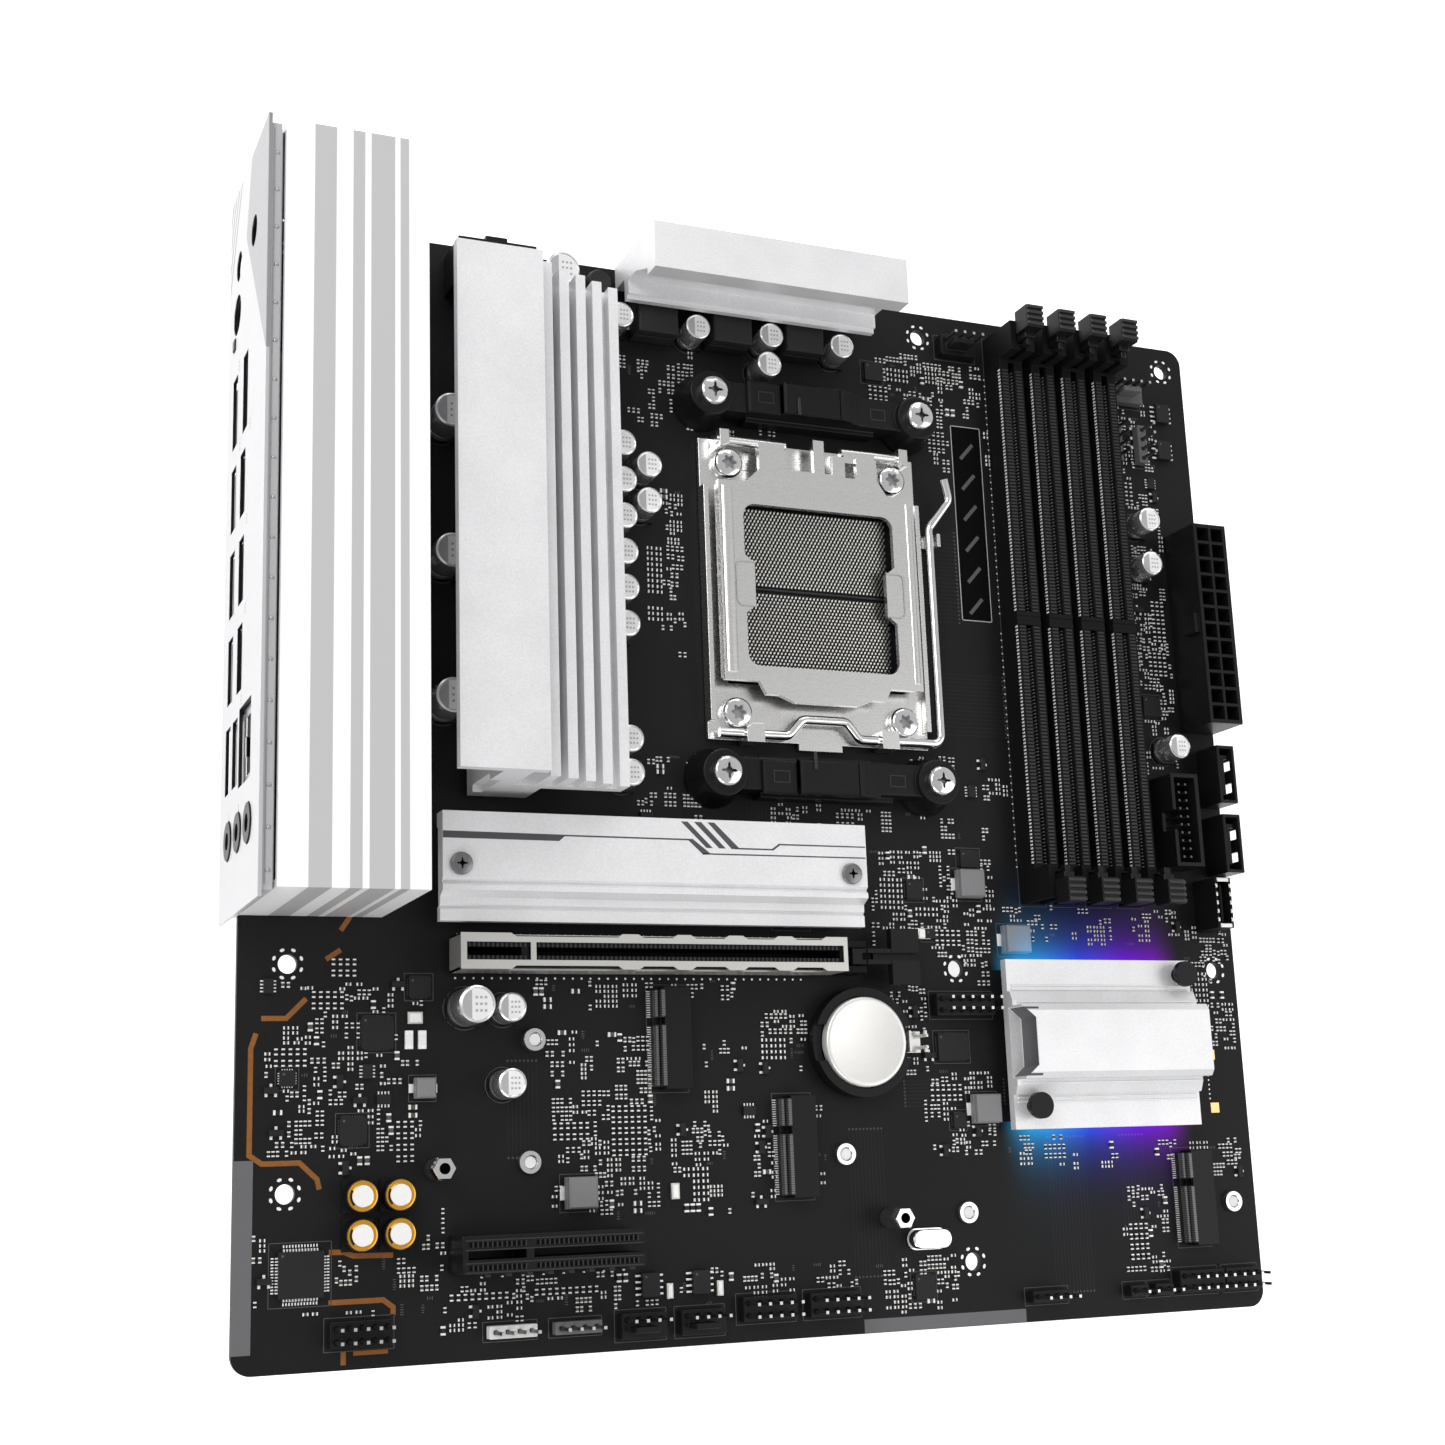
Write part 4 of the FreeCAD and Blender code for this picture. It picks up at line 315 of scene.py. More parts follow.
def board_glow(made):
    """Light that spills on the board on two sides of the chipset heatsink, cyan to violet."""
    tree = made.node_tree
    surface = tree.nodes["Principled BSDF"]
    along, across = board_axis(tree, "X"), board_axis(tree, "Y")
    share = math_node(tree, "DIVIDE", math_node(tree, "SUBTRACT", along, 176.0), 50.0)
    hues = ramp(tree, [(0.0, (0.02, 0.34, 0.62)), (0.22, (0.02, 0.36, 0.95)), (0.45, (0.03, 0.08, 0.98)),
                       (0.72, (0.18, 0.0, 0.86)), (1.0, (0.22, 0.0, 0.42))])
    tree.links.new(share, hues.inputs[0])
    away = math_node(tree, "SUBTRACT", distance_from(tree, across, SINK_Y), 19.0)
    fade = math_node(tree, "POWER", 2.718, product(tree, math_node(tree, "MAXIMUM", away, 0.0), -0.26))
    beside = math_node(tree, "GREATER_THAN", away, -1.5)
    edge = node(tree, "MapRange", interpolation_type="SMOOTHSTEP")
    edge.inputs["From Min"].default_value = 27.0
    edge.inputs["From Max"].default_value = 18.0
    top = math_node(tree, "GREATER_THAN", board_axis(tree, "Z"), -0.05)
    links(tree, (distance_from(tree, along, SINK_X), edge.inputs["Value"]),
          (hues.outputs["Color"], surface.inputs["Emission Color"]),
          (product(tree, fade, edge.outputs["Result"], top, beside), surface.inputs["Emission Strength"]))


def header_colours_and_pin_highlight():
    """The light and grey connectors among the fan and light headers, and a painted highlight on the tips of
    the header pins.
    """
    M["headers"] = copy_of("black", "headers")
    tree = M["headers"].node_tree
    across, along = board_axis(tree, "X"), board_axis(tree, "Y")
    for x0, x1, y0, y1, colour in ((50, 63, 3, 8.5, (0.62, 0.62, 0.61)),
                                   (64, 77, 3, 8.5, (0.12, 0.12, 0.12)),
                                   (218, 232, 209.5, 232.5, (0.10, 0.10, 0.102))):
        print_over(M["headers"], product(tree, between(tree, across, x0, x1), between(tree, along, y0, y1)),
                   colour)
    M["pins"] = copy_of("pin", "pins")
    tree = M["pins"].node_tree
    # painted highlight: the pins are lighter above 8.1 mm, at their tips
    print_over(M["pins"], math_node(tree, "GREATER_THAN", board_axis(tree, "Z"), 8.1), (0.62, 0.62, 0.60))


def sink_recess():
    """The chipset heatsink, with the dark inset at the left end of its block."""
    M["sink"] = copy_of("blasted", "sink")
    tree = M["sink"].node_tree
    inside = [between(tree, board_axis(tree, letter), low, high)
              for letter, low, high in (("X", 170.0, 179.4), ("Y", 54.6, 70.2), ("Z", 5.7, 12.2))]
    print_over(M["sink"], product(tree, *inside), (0.10, 0.10, 0.105))


def copy_of(name, new):
    """A second material that starts as a copy of another."""
    made = M[name].copy()
    made.name = new
    return made


def board_axis(tree, letter):
    """One coordinate in board millimetres, worked out inside a material."""
    return math_node(tree, "MULTIPLY_ADD", part_axes(tree)[letter], 1 / MM, ORIGIN["XYZ".index(letter)])


# ---------------------------------------------------------------- mesh building

class Builder:
    """Collects faces in board millimetres, each with a material, and makes one object of them."""

    def __init__(self, *materials):
        self.points = []
        self.faces = []
        self.paint = []
        self.materials = materials

    def add(self, points, faces, material):
        """Points and the faces between them."""
        start = len(self.points)
        self.points += points
        self.faces += [tuple(start + corner for corner in face) for face in faces]
        self.paint += [self.materials.index(material)] * len(faces)

    def block(self, corner, opposite, material, slope=0.0):
        """A block between opposite corners; a slope draws its top edges in by that much."""
        (x0, x1), (y0, y1), (z0, z1) = (sorted(ends) for ends in zip(corner, opposite))
        levels = [(0, z0), (0, z1)] if not slope else [(0, z0), (0, z1 - slope), (slope, z1)]
        points = []
        for inset, z in levels:
            points += [(x0 + inset, y0 + inset, z), (x1 - inset, y0 + inset, z),
                       (x1 - inset, y1 - inset, z), (x0 + inset, y1 - inset, z)]
        faces = [(3, 2, 1, 0)]
        for k in range(len(levels) - 1):
            base = 4 * k
            faces += [(base + i, base + (i + 1) % 4, base + 4 + (i + 1) % 4, base + 4 + i)
                      for i in range(4)]
        last = 4 * (len(levels) - 1)
        faces.append((last, last + 1, last + 2, last + 3))
        self.add(points, faces, material)

    def middle_block(self, x, y, half_x, half_y, low, high, material, slope=0.0):
        """A block given by its middle and its half sizes."""
        self.block((x - half_x, y - half_y, low), (x + half_x, y + half_y, high), material, slope)

    def grid(self, rows, material):
        """Quads between rows of points, each row a closed loop."""
        count = len(rows[0])
        for first, second in zip(rows, rows[1:]):
            faces = [(k, (k + 1) % count, count + (k + 1) % count, count + k) for k in range(count)]
            self.add(first + second, faces, material)

    def turned(self, centre, profile, materials, sides=32, axis="Z", phase=0.0):
        """A turned shape from (radius, height) points, with one material for each band."""
        rings = len(profile)
        points = []
        for radius, height in profile:
            for k in range(sides):
                angle = phase + TURN * k / sides
                a, b = radius * math.cos(angle), radius * math.sin(angle)
                offset = (a, b, height) if axis == "Z" else (height, a, b)
                points.append(tuple(c + o for c, o in zip(centre, offset)))
        for band in range(rings - 1):
            rows = [points[k * sides:(k + 1) * sides] for k in (band, band + 1)]
            self.grid(rows, materials[min(band, len(materials) - 1)])

    def prism(self, outline, low, high, material, slope=0.0):
        """An upright prism on a convex outline, with its top edge drawn in by the slope."""
        count = len(outline)
        middle = (sum(p[0] for p in outline) / count, sum(p[1] for p in outline) / count)
        levels = [(1.0, low), (1.0, high - slope)]
        if slope:
            reach = max(math.dist(p, middle) for p in outline)
            levels.append((1 - slope / reach, high))
        points = [(middle[0] + (x - middle[0]) * scale, middle[1] + (y - middle[1]) * scale, z)
                  for scale, z in levels for x, y in outline]
        faces = [tuple(reversed(range(count)))]
        for k in range(len(levels) - 1):
            base = k * count
            faces += [(base + i, base + (i + 1) % count, base + count + (i + 1) % count, base + count + i)
                      for i in range(count)]
        last = (len(levels) - 1) * count
        faces.append(tuple(last + i for i in range(count)))
        self.add(points, faces, material)

    def ribbon(self, route, width, level, material, thick=0.02):
        """A flat printed line through points, with mitred corners."""
        sides = []
        for k, (x, y) in enumerate(route):
            before = Vector(route[max(k - 1, 0)])
            after = Vector(route[min(k + 1, len(route) - 1)])
            here = Vector((x, y))
            into = (here - before).normalized() if k else (after - here).normalized()
            out = (after - here).normalized() if k < len(route) - 1 else into
            normal = Vector((-(into + out).y, (into + out).x))
            normal.normalize()
            reach = width / 2 / max(0.4, normal.dot(Vector((-into.y, into.x))))
            sides.append((here + normal * reach, here - normal * reach))
        top = level + thick
        points = [(p.x, p.y, z) for left, right in sides for p, z in ((left, top), (right, top))]
        faces = [(2 * k + 1, 2 * k + 3, 2 * k + 2, 2 * k) for k in range(len(route) - 1)]
        self.add(points, faces, material)

    def ring(self, centre, inner, outer, level, material, sides=28, start=0.0, sweep=TURN):
        """A flat printed ring, or a part of one."""
        whole = abs(sweep - TURN) < 1e-6
        steps = sides if whole else sides + 1
        points = []
        for k in range(steps):
            angle = start + sweep * k / sides
            for radius in (inner, outer):
                points.append((centre[0] + radius * math.cos(angle), centre[1] + radius * math.sin(angle),
                               level))
        faces = [(2 * k, 2 * k + 1, (2 * k + 3) % (2 * steps), (2 * k + 2) % (2 * steps))
                 for k in range(sides)]
        self.add(points, faces, material)

    def finish(self, name, body, slot_name, bevel=0.0, replaces=(), smooth=True):
        """The finished object, riding on its body."""
        mesh = bpy.data.meshes.new(name)
        mesh.from_pydata([tuple((value - offset) * MM for value, offset in zip(point, ORIGIN))
                          for point in self.points], [], self.faces)
        for material in self.materials:
            mesh.materials.append(M[material])
        mesh.polygons.foreach_set("material_index", self.paint)
        made = bpy.data.objects.new(name, mesh)
        bpy.context.scene.collection.objects.link(made)
        mesh.validate()
        soften(made, bevel, smooth)
        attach(made, body)
        if replaces:
            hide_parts(*replaces)
        return made


def soften(thing, bevel, smooth=True):
    """Small rounded edges that catch the light."""
    if smooth:
        thing.data.shade_smooth()
    weld = thing.modifiers.new("weld", "WELD")
    weld.merge_threshold = 0.0005 * MM
    if bevel:
        edge = thing.modifiers.new("edges", "BEVEL")
        edge.width = bevel * MM
        edge.segments = 2
        edge.limit_method = "ANGLE"
        edge.angle_limit = math.radians(40)
        even = thing.modifiers.new("even", "WEIGHTED_NORMAL")
        even.weight = 100
        even.keep_sharp = True
    else:
        flat = thing.modifiers.new("by_angle", "EDGE_SPLIT")
        flat.split_angle = math.radians(38)


def to_board(point):
    """A point of the part frame, in metres, as board millimetres."""
    return tuple(value / MM + offset for value, offset in zip(point, ORIGIN))


def node_box(name):
    """The corners of a CAD node in board millimetres."""
    low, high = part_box(name)
    return to_board(low), to_board(high)


def islands(name):
    """The corners of each separate solid of a CAD node, in board millimetres."""
    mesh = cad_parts[name].data
    spots = {}
    owner = []
    for vertex in mesh.vertices:
        key = tuple(round(value * 1e6) for value in vertex.co)
        owner.append(spots.setdefault(key, len(spots)))
    parent = list(range(len(spots)))

    def root(item):
        while parent[item] != item:
            parent[item] = parent[parent[item]]
            item = parent[item]
        return item

    for face in mesh.polygons:
        first = root(owner[face.vertices[0]])
        for vertex in face.vertices[1:]:
            parent[root(owner[vertex])] = first
    boxes = {}
    for vertex, spot in zip(mesh.vertices, owner):
        point = to_board(vertex.co)
        low, high = boxes.setdefault(root(spot), ([1e9] * 3, [-1e9] * 3))
        for axis in range(3):
            low[axis] = min(low[axis], point[axis])
            high[axis] = max(high[axis], point[axis])
    found = [(tuple(low), tuple(high)) for low, high in boxes.values()]
    return sorted(found, key=lambda item: (round(item[0][0], 2), round(item[0][1], 2),
                                           round(item[0][2], 2)))


def middle_of(box):
    """The centre of a box."""
    low, high = box
    return tuple((a + b) / 2 for a, b in zip(low, high))


def size_of(box):
    """The three sizes of a box."""
    low, high = box
    return tuple(b - a for a, b in zip(low, high))


# ---------------------------------------------------------------- the CAD nodes that stay

# the CAD nodes that stay as they are: material, edge rounding in mm, nodes
DRESS = [
    ("mask", 0, "pcb"),
    ("plate", 0.1, "io_shield"),
    ("cover", 0.35, "io_cover"),
    ("blasted", 0.25, "vrm_heatsink_left vrm_heatsink_top"),
    ("blasted", 0, "m2_heatsink"),
    ("sink", 0, "chipset_heatsink"),
    ("black", 0.3, "chipset_push_pins battery_holder"),
    ("epoxy", 0.1, "chipset ic_packages"),
    ("black_matt", 0.2, "cpu_socket"),
    ("steel", 0.12, "socket_frame"),
    ("back_coat", 0, "socket_backplate"),
    ("steel", 0.14, "socket_load_plate"),
    ("chrome", 0, "socket_lever"),
    ("black", 0.5, "cooler_bracket_upper cooler_bracket_lower"),
    ("black_matt", 0.15, "dimm_slots"),
    ("black_matt", 0.12, "pcie_x16_slot"),
    ("black", 0.2, "pcie_x16_latch sata_connectors usb3_header pin_header_bases audio_jacks "
     "flashback_button"),
    ("black", 0.15, "pcie_x4_slot m2_sockets ps2_port flashback_switch"),
    ("spring_steel", 0.1, "battery_clip"),
    ("black", 0.12, "atx_power_connector cpu_power_connector"),
    ("black_matt", 0.1, "usb_c_header"),
    ("headers", 0.2, "fan_and_light_headers"),
    ("pins", 0, "header_pins"),
    ("pad", 0.1, "thermal_pads"),
    ("chrome", 0.2, "heatsink_screws"),
    ("port", 0.1, "rear_usb_ports rear_video_ports"),
    ("port", 0.12, "lan_port"),
]


def dress_nodes():
    """Give every carried-over node its material and its edge rounding."""
    for material, bevel, names in DRESS:
        for name in names.split():
            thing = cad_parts[name]
            thing.data.materials.clear()
            thing.data.materials.append(M[material])
            thing.data.polygons.foreach_set("material_index", [0] * len(thing.data.polygons))
            if bevel:
                soften(thing, bevel, smooth=False)


# ---------------------------------------------------------------- capacitors, coils and chips

def make_capacitors():
    """Aluminium cans with a rolled groove, a domed rim and a printed half, on a square foot."""
    parts = Builder("can", "can_mark", "can_top", "black")
    for box in islands("polymer_capacitors"):
        x, y, _ = middle_of(box)
        wide, _, tall = size_of(box)
        r, z, foot = wide / 2, box[0][2], 0.8
        cut = r * 0.42
        outline = [(x - r + cut, y - r), (x + r, y - r), (x + r, y + r), (x - r + cut, y + r),
                   (x - r, y + r - cut), (x - r, y - r + cut)]
        parts.prism(outline, z, z + foot, "black")
        c, h = r * 0.985, tall - foot
        profile = [(c * 0.9, foot), (c, foot + 0.15), (c, foot + h * 0.14), (c * 0.93, foot + h * 0.19),
                   (c, foot + h * 0.24), (c, tall - 0.55), (c * 0.97, tall - 0.2), (c * 0.88, tall - 0.02),
                   (c * 0.82, tall - 0.10)]
        parts.turned((x, y, z), profile, ["can"], 36)
        half_moon(parts, (x, y), c * 0.82, z + tall - 0.10)
        can_ticks(parts, (x, y), c * 0.82, z + tall - 0.085)
    parts.finish("capacitor_cans", "board", "capacitor_can", replaces=("polymer_capacitors",))


def half_moon(parts, centre, radius, level):
    """The flat top of a can: a plain part and a dark printed part on the left."""
    opening = math.acos(-0.36)
    steps = 20
    for start, sweep, look in ((-opening, 2 * opening, "can_top"),
                               (opening, TURN - 2 * opening, "can_mark")):
        rim = [(centre[0] + radius * math.cos(start + sweep * k / steps),
                centre[1] + radius * math.sin(start + sweep * k / steps), level) for k in range(steps + 1)]
        parts.add(rim, [tuple(range(steps + 1))], look)


def can_ticks(parts, centre, radius, level):
    """Three plain rows of printed ticks, no letters, on the light part of a can's top."""
    for row in (-0.38, 0.0, 0.38):
        for column in (-0.12, 0.14, 0.40):
            x, y = centre[0] + column * radius * 1.15, centre[1] + row * radius * 1.1
            parts.ribbon([(x, y), (x + radius * 0.17, y)], radius * 0.16, level, "can_mark", 0.004)


def make_audio_capacitors():
    """Gold sleeved cans with a pale vented top and a dark printed wedge."""
    parts = Builder("gold_sleeve", "black", "white_plastic")
    for box in islands("audio_capacitors"):
        x, y, _ = middle_of(box)
        wide, _, tall = size_of(box)
        r, z = wide / 2, box[0][2]
        parts.middle_block(x, y, r, r, z, z + 0.8, "black")
        c = r * 0.98
        profile = [(c * 0.9, 0.8), (c, 1.0), (c, 1.6), (c * 0.94, 1.85), (c, 2.1), (c, tall - 0.5),
                   (c * 0.95, tall - 0.1), (c * 0.86, tall)]
        parts.turned((x, y, z), profile, ["black"] * 5 + ["gold_sleeve"] * 2, 40)
        parts.turned((x, y, z), [(c * 0.86, tall), (c * 0.68, tall - 0.06)], ["gold_sleeve"], 40)
        parts.turned((x, y, z), [(c * 0.68, tall - 0.06), (c * 0.66, tall - 0.12), (0.02, tall - 0.12)],
                     ["white_plastic"], 40)
        parts.ring((x, y), c * 0.70, c * 0.88, z + tall - 0.005, "black", 10, math.radians(150),
                   math.radians(75))
    parts.finish("audio_capacitor_cans", "board", "capacitor_gold", replaces=("audio_capacitors",))


def make_coils():
    """Pressed-powder chokes and inductors: rounded blocks with a seam, on bright end caps."""
    lift, reach = 0.35, 0.9
    for name, node_name, look, slot_name in (("choke_blocks", "vrm_chokes", "ferrite", "ferrite_dark"),
                                             ("inductor_blocks", "power_inductors", "ferrite_grey",
                                              "ferrite_grey")):
        parts = Builder(look, "solder")
        for (x0, y0, z0), (x1, y1, z1) in islands(node_name):
            seam = z0 + (z1 - z0) * 0.55
            parts.block((x0, y0, z0 + lift), (x1, y1, seam), look, 0.12)
            parts.block((x0 + 0.08, y0 + 0.08, seam), (x1 - 0.08, y1 - 0.08, z1), look, 0.35)
            side = (y1 - y0) * 0.28
            for x, outward in ((x0, -1), (x1, 1)):
                parts.block((x, y0 + side, z0), (x - 1.1 * outward, y1 - side, z0 + lift), "solder")
                parts.block((x, y0 + side, z0), (x + reach * outward, y1 - side, z0 + 0.3), "solder", 0.1)
        parts.finish(name, "board", slot_name, bevel=0.18, replaces=(node_name,))


def lead(parts, box, axis, outward, shift, reach, half, rise, look, slope=0.0):
    """One lead on a side of a chip: how far it reaches past the edge, at a shift along that side."""
    low, high = box
    other = 1 - axis
    edge = high[axis] if outward > 0 else low[axis]
    centre = (low[other] + high[other]) / 2 + shift
    corner, opposite = [0, 0, low[2]], [0, 0, low[2] + rise]
    corner[axis], opposite[axis] = (edge + outward * distance for distance in reach)
    corner[other], opposite[other] = centre - half, centre + half
    parts.block(corner, opposite, look, slope)


def shifts(count, pitch):
    """Evenly spaced places either side of nought."""
    return [(k - (count - 1) / 2) * pitch for k in range(count)]


def make_chip_legs():
    """Leads and pads round the chips, by their sizes, and a dimple at the first lead."""
    parts = Builder("solder", "silk_dim")
    for box in islands("ic_packages"):
        (x0, y0, _), (x1, y1, z1) = box
        wide, deep, tall = size_of(box)
        margin = 0.75
        if wide > 8.5 and tall > 1.2:
            margin = 1.7
            rows = [(axis, shift, reach, 0.13, rise, "solder", 0.0) for shift in shifts(12, 0.6)
                    for axis in (0, 1) for reach, rise in (((-0.05, 0.5), 0.75), ((0.75, 1.3), 0.12))]
        elif tall > 1.3 and deep > 4.5:
            margin = None
            rows = [(0, shift, (-0.05, 1.15), 0.21, 0.3, "solder", 0.05) for shift in shifts(4, 1.27)]
        else:
            look = "solder" if wide < 3.3 and tall < 0.85 else "silk_dim"
            rows = [(axis, shift, (0, 0.28), 0.11, 0.06, look, 0.0)
                    for axis, along in ((1, wide), (0, deep))
                    for shift in shifts(int((along - 0.7) / 0.5), 0.5)]
        for axis, shift, reach, half, rise, look, slope in rows:
            for outward in (-1, 1):
                lead(parts, box, axis, outward, shift, reach, half, rise, look, slope)
        if margin:
            outline_marks(parts, x0 - margin, y0 - margin, x1 + margin, y1 + margin, "silk_dim")
        parts.ring((x0 + 0.8, y1 - 0.8), 0.0, 0.26, z1 + 0.005, "silk_dim", 14)
    parts.finish("chip_leads", "board", "pin_metal", smooth=False)


def outline_marks(parts, x0, y0, x1, y1, material, width=0.14):
    """A printed rectangle on the board."""
    for ends in (((x0, y0), (x1, y0)), ((x1, y0), (x1, y1)), ((x1, y1), (x0, y1)), ((x0, y1), (x0, y0))):
        parts.ribbon(ends, width, 0.0, material)


# ---------------------------------------------------------------- processor socket

def star_head(parts, centre, radius, height, recess, lobes, material, dark):
    """A screw head with a lobed recess: a domed ring, the recess wall and its floor; the wall and floor
    take the darker material as painted shade.
    """
    x, y, z = centre
    steps = lobes * 8
    inner, floor = [], []
    angles = [TURN * k / steps for k in range(steps)]
    for angle in angles:
        wave = math.cos(lobes * angle)
        reach = recess * (1 + 0.22 * wave) if lobes == 6 else recess * (0.42 + 0.58 * max(0.0, wave) ** 1.6)
        for row, share, level in ((inner, 1.0, height), (floor, 0.86, height * 0.38)):
            row.append((x + share * reach * math.cos(angle), y + share * reach * math.sin(angle),
                        z + level))
    rings = [(0.97, 0), (1.0, 0.15), (1.0, 0.62), (0.94, 0.88), (0.82, 1.0)]
    rows = [[(x + radius * r * math.cos(a), y + radius * r * math.sin(a), z + height * h) for a in angles]
            for r, h in rings]
    parts.grid(rows + [inner], material)
    # painted shade: the recess wall and floor are in the darker material
    parts.grid([inner, floor], dark)
    parts.add(floor, [tuple(range(steps))], dark)


def make_screws():
    """Star screws of the socket, cross screws of the brackets and of the drive heatsink."""
    # dark is each recess's darker material: painted shade in the recess
    for name, node_name, lobes, recess, metal, dark, head, stem in (
            ("star_screws", "socket_screws", 6, 1.55, "chrome", "can_mark", 2.4, 1.6),
            ("bracket_screws", "cooler_bracket_screws", 4, 2.0, "chrome", "screw_grey", 2.2, 1.5),
            ("plate_screws", "m2_heatsink_screws", 4, 1.25, "screw_grey", "inside", 1.1, 1.4)):
        parts = Builder("chrome", "screw_grey", dark)
        for box in islands(node_name):
            x, y, _ = middle_of(box)
            top, bottom = box[1][2], box[0][2]
            star_head(parts, (x, y, top - head), size_of(box)[0] / 2, head, recess, lobes, metal, dark)
            turns = [(0.01, bottom - top), (stem * 0.5, bottom - top)]
            level = bottom - top + 0.3
            while level < -head - 0.3:
                turns += [(stem, level), (stem * 0.88, level + 0.25)]
                level += 0.5
            parts.turned((x, y, top), turns + [(stem, -head)], ["chrome"], 20)
        parts.finish(name, "board", "screw_steel", replaces=(node_name,))


def make_contacts():
    """Rows of slanted sprung contacts in two halves, with the bar between them."""
    parts = Builder("pale_gold", "rib_black", "black_matt")
    pitch_x, pitch_y, spring = 0.94, 0.81, 0.55
    for low, high in islands("socket_contact_field"):
        base = high[2] - spring
        parts.block(low, (high[0], high[1], base), "black_matt")
        tilt = 0.06 if low[1] + high[1] > 2 * 167 else 0.30
        row = 0
        y = low[1] + 0.7
        while y < high[1] - 0.6:
            x = low[0] + 0.7 + (row % 2) * pitch_x / 2
            while x < high[0] - 0.6:
                points = [(x - 0.2, y - 0.22, base), (x + 0.2, y - 0.22, base),
                          (x + 0.26, y + 0.22, base + 0.1), (x - 0.14, y + 0.22, base + 0.1),
                          (x + tilt - 0.16, y + 0.30, high[2] - 0.02),
                          (x + tilt + 0.16, y + 0.30, high[2] - 0.02)]
                parts.add(points, [(0, 1, 2, 3), (3, 2, 5, 4)], "pale_gold")
                x += pitch_x
            row += 1
            y += pitch_y
    low, high = node_box("socket_contact_field")
    middle = (low[1] + high[1]) / 2
    parts.block((low[0], middle - 0.24, low[2]), (high[0], middle + 0.24, high[2] - 0.25), "rib_black", 0.1)
    parts.finish("contact_rows", "board", "contact_gold", replaces=("socket_contact_field",), smooth=False)


def make_cell():
    """The coin cell: a rounded can with its rim groove and a lightly dished top."""
    low, high = node_box("battery")
    x, y, _ = middle_of((low, high))
    r, tall = (high[0] - low[0]) / 2, high[2] - low[2]
    parts = Builder("cell", "can_mark")
    profile = [(0.02, 0), (r * 0.86, 0), (r * 0.89, 0.25), (r * 0.955, 0.3), (r, 0.75), (r, tall - 0.35),
               (r * 0.985, tall - 0.1), (r * 0.96, tall), (r * 0.9, tall), (r * 0.885, tall - 0.04),
               (0.02, tall - 0.04)]
    parts.turned((x, y, low[2]), profile, ["cell", "cell", "can_mark", "cell"], 72)
    parts.finish("coin_cell", "cell", "cell_steel", replaces=("battery",))


def make_standoffs():
    """Round soldered nuts and tall hexagonal standoffs on their posts."""
    parts = Builder("chrome", "inside", "solder", "white_plastic", "screw_grey")
    for box in islands("m2_standoffs"):
        x, y, _ = middle_of(box)
        wide, _, tall = size_of(box)
        z = box[0][2]
        if tall > 6:
            hex_standoff(parts, x, y, z, tall)
            continue
        r = min(wide / 2, 2.5)
        profile = [(r, 0), (r, tall - 0.25), (r * 0.93, tall), (r * 0.62, tall), (r * 0.57, tall - 0.15),
                   (r * 0.5, tall - 0.3), (r * 0.5, tall - 0.5), (0.01, tall - 0.5)]
        parts.turned((x, y, z), profile, ["chrome"] * 4 + ["screw_grey", "solder", "white_plastic"], 32)
    parts.finish("drive_standoffs", "board", "screw_steel", replaces=("m2_standoffs",))


def hex_standoff(parts, x, y, z, tall):
    """A six-sided head with a threaded hole whose wall and floor are near black as painted shade, on a
    slimmer dark post.
    """
    across, bore, sides, head = 2.6, 1.15, 24, 3.4
    sixth = HALF_TURN / 3
    outline = []
    for k in range(sides):
        angle = TURN * k / sides
        reach = across * math.cos(sixth / 2) / math.cos(angle % sixth - sixth / 2)
        outline.append((reach * math.cos(angle), reach * math.sin(angle)))
    parts.turned((x, y, z), [(2.2, 0), (2.2, tall - head)], ["screw_grey"], 20)
    rows = [[(x + a * share, y + b * share, z + h) for a, b in outline]
            for share, h in ((0.9, tall - head), (1.0, tall - head + 0.25), (1.0, tall - 0.4),
                             (0.88, tall))]
    for depth, share in ((0.0, 1.0), (2.5, 0.9)):
        rows.append([(x + bore * share * a / math.hypot(a, b), y + bore * share * b / math.hypot(a, b),
                      z + tall - depth) for a, b in outline])
    parts.grid(rows[:5], "chrome")
    # painted shade: the hole's wall and floor are near black
    parts.grid(rows[4:], "inside")
    parts.add(rows[-1], [tuple(range(sides))], "inside")


# ---------------------------------------------------------------- slots and connectors

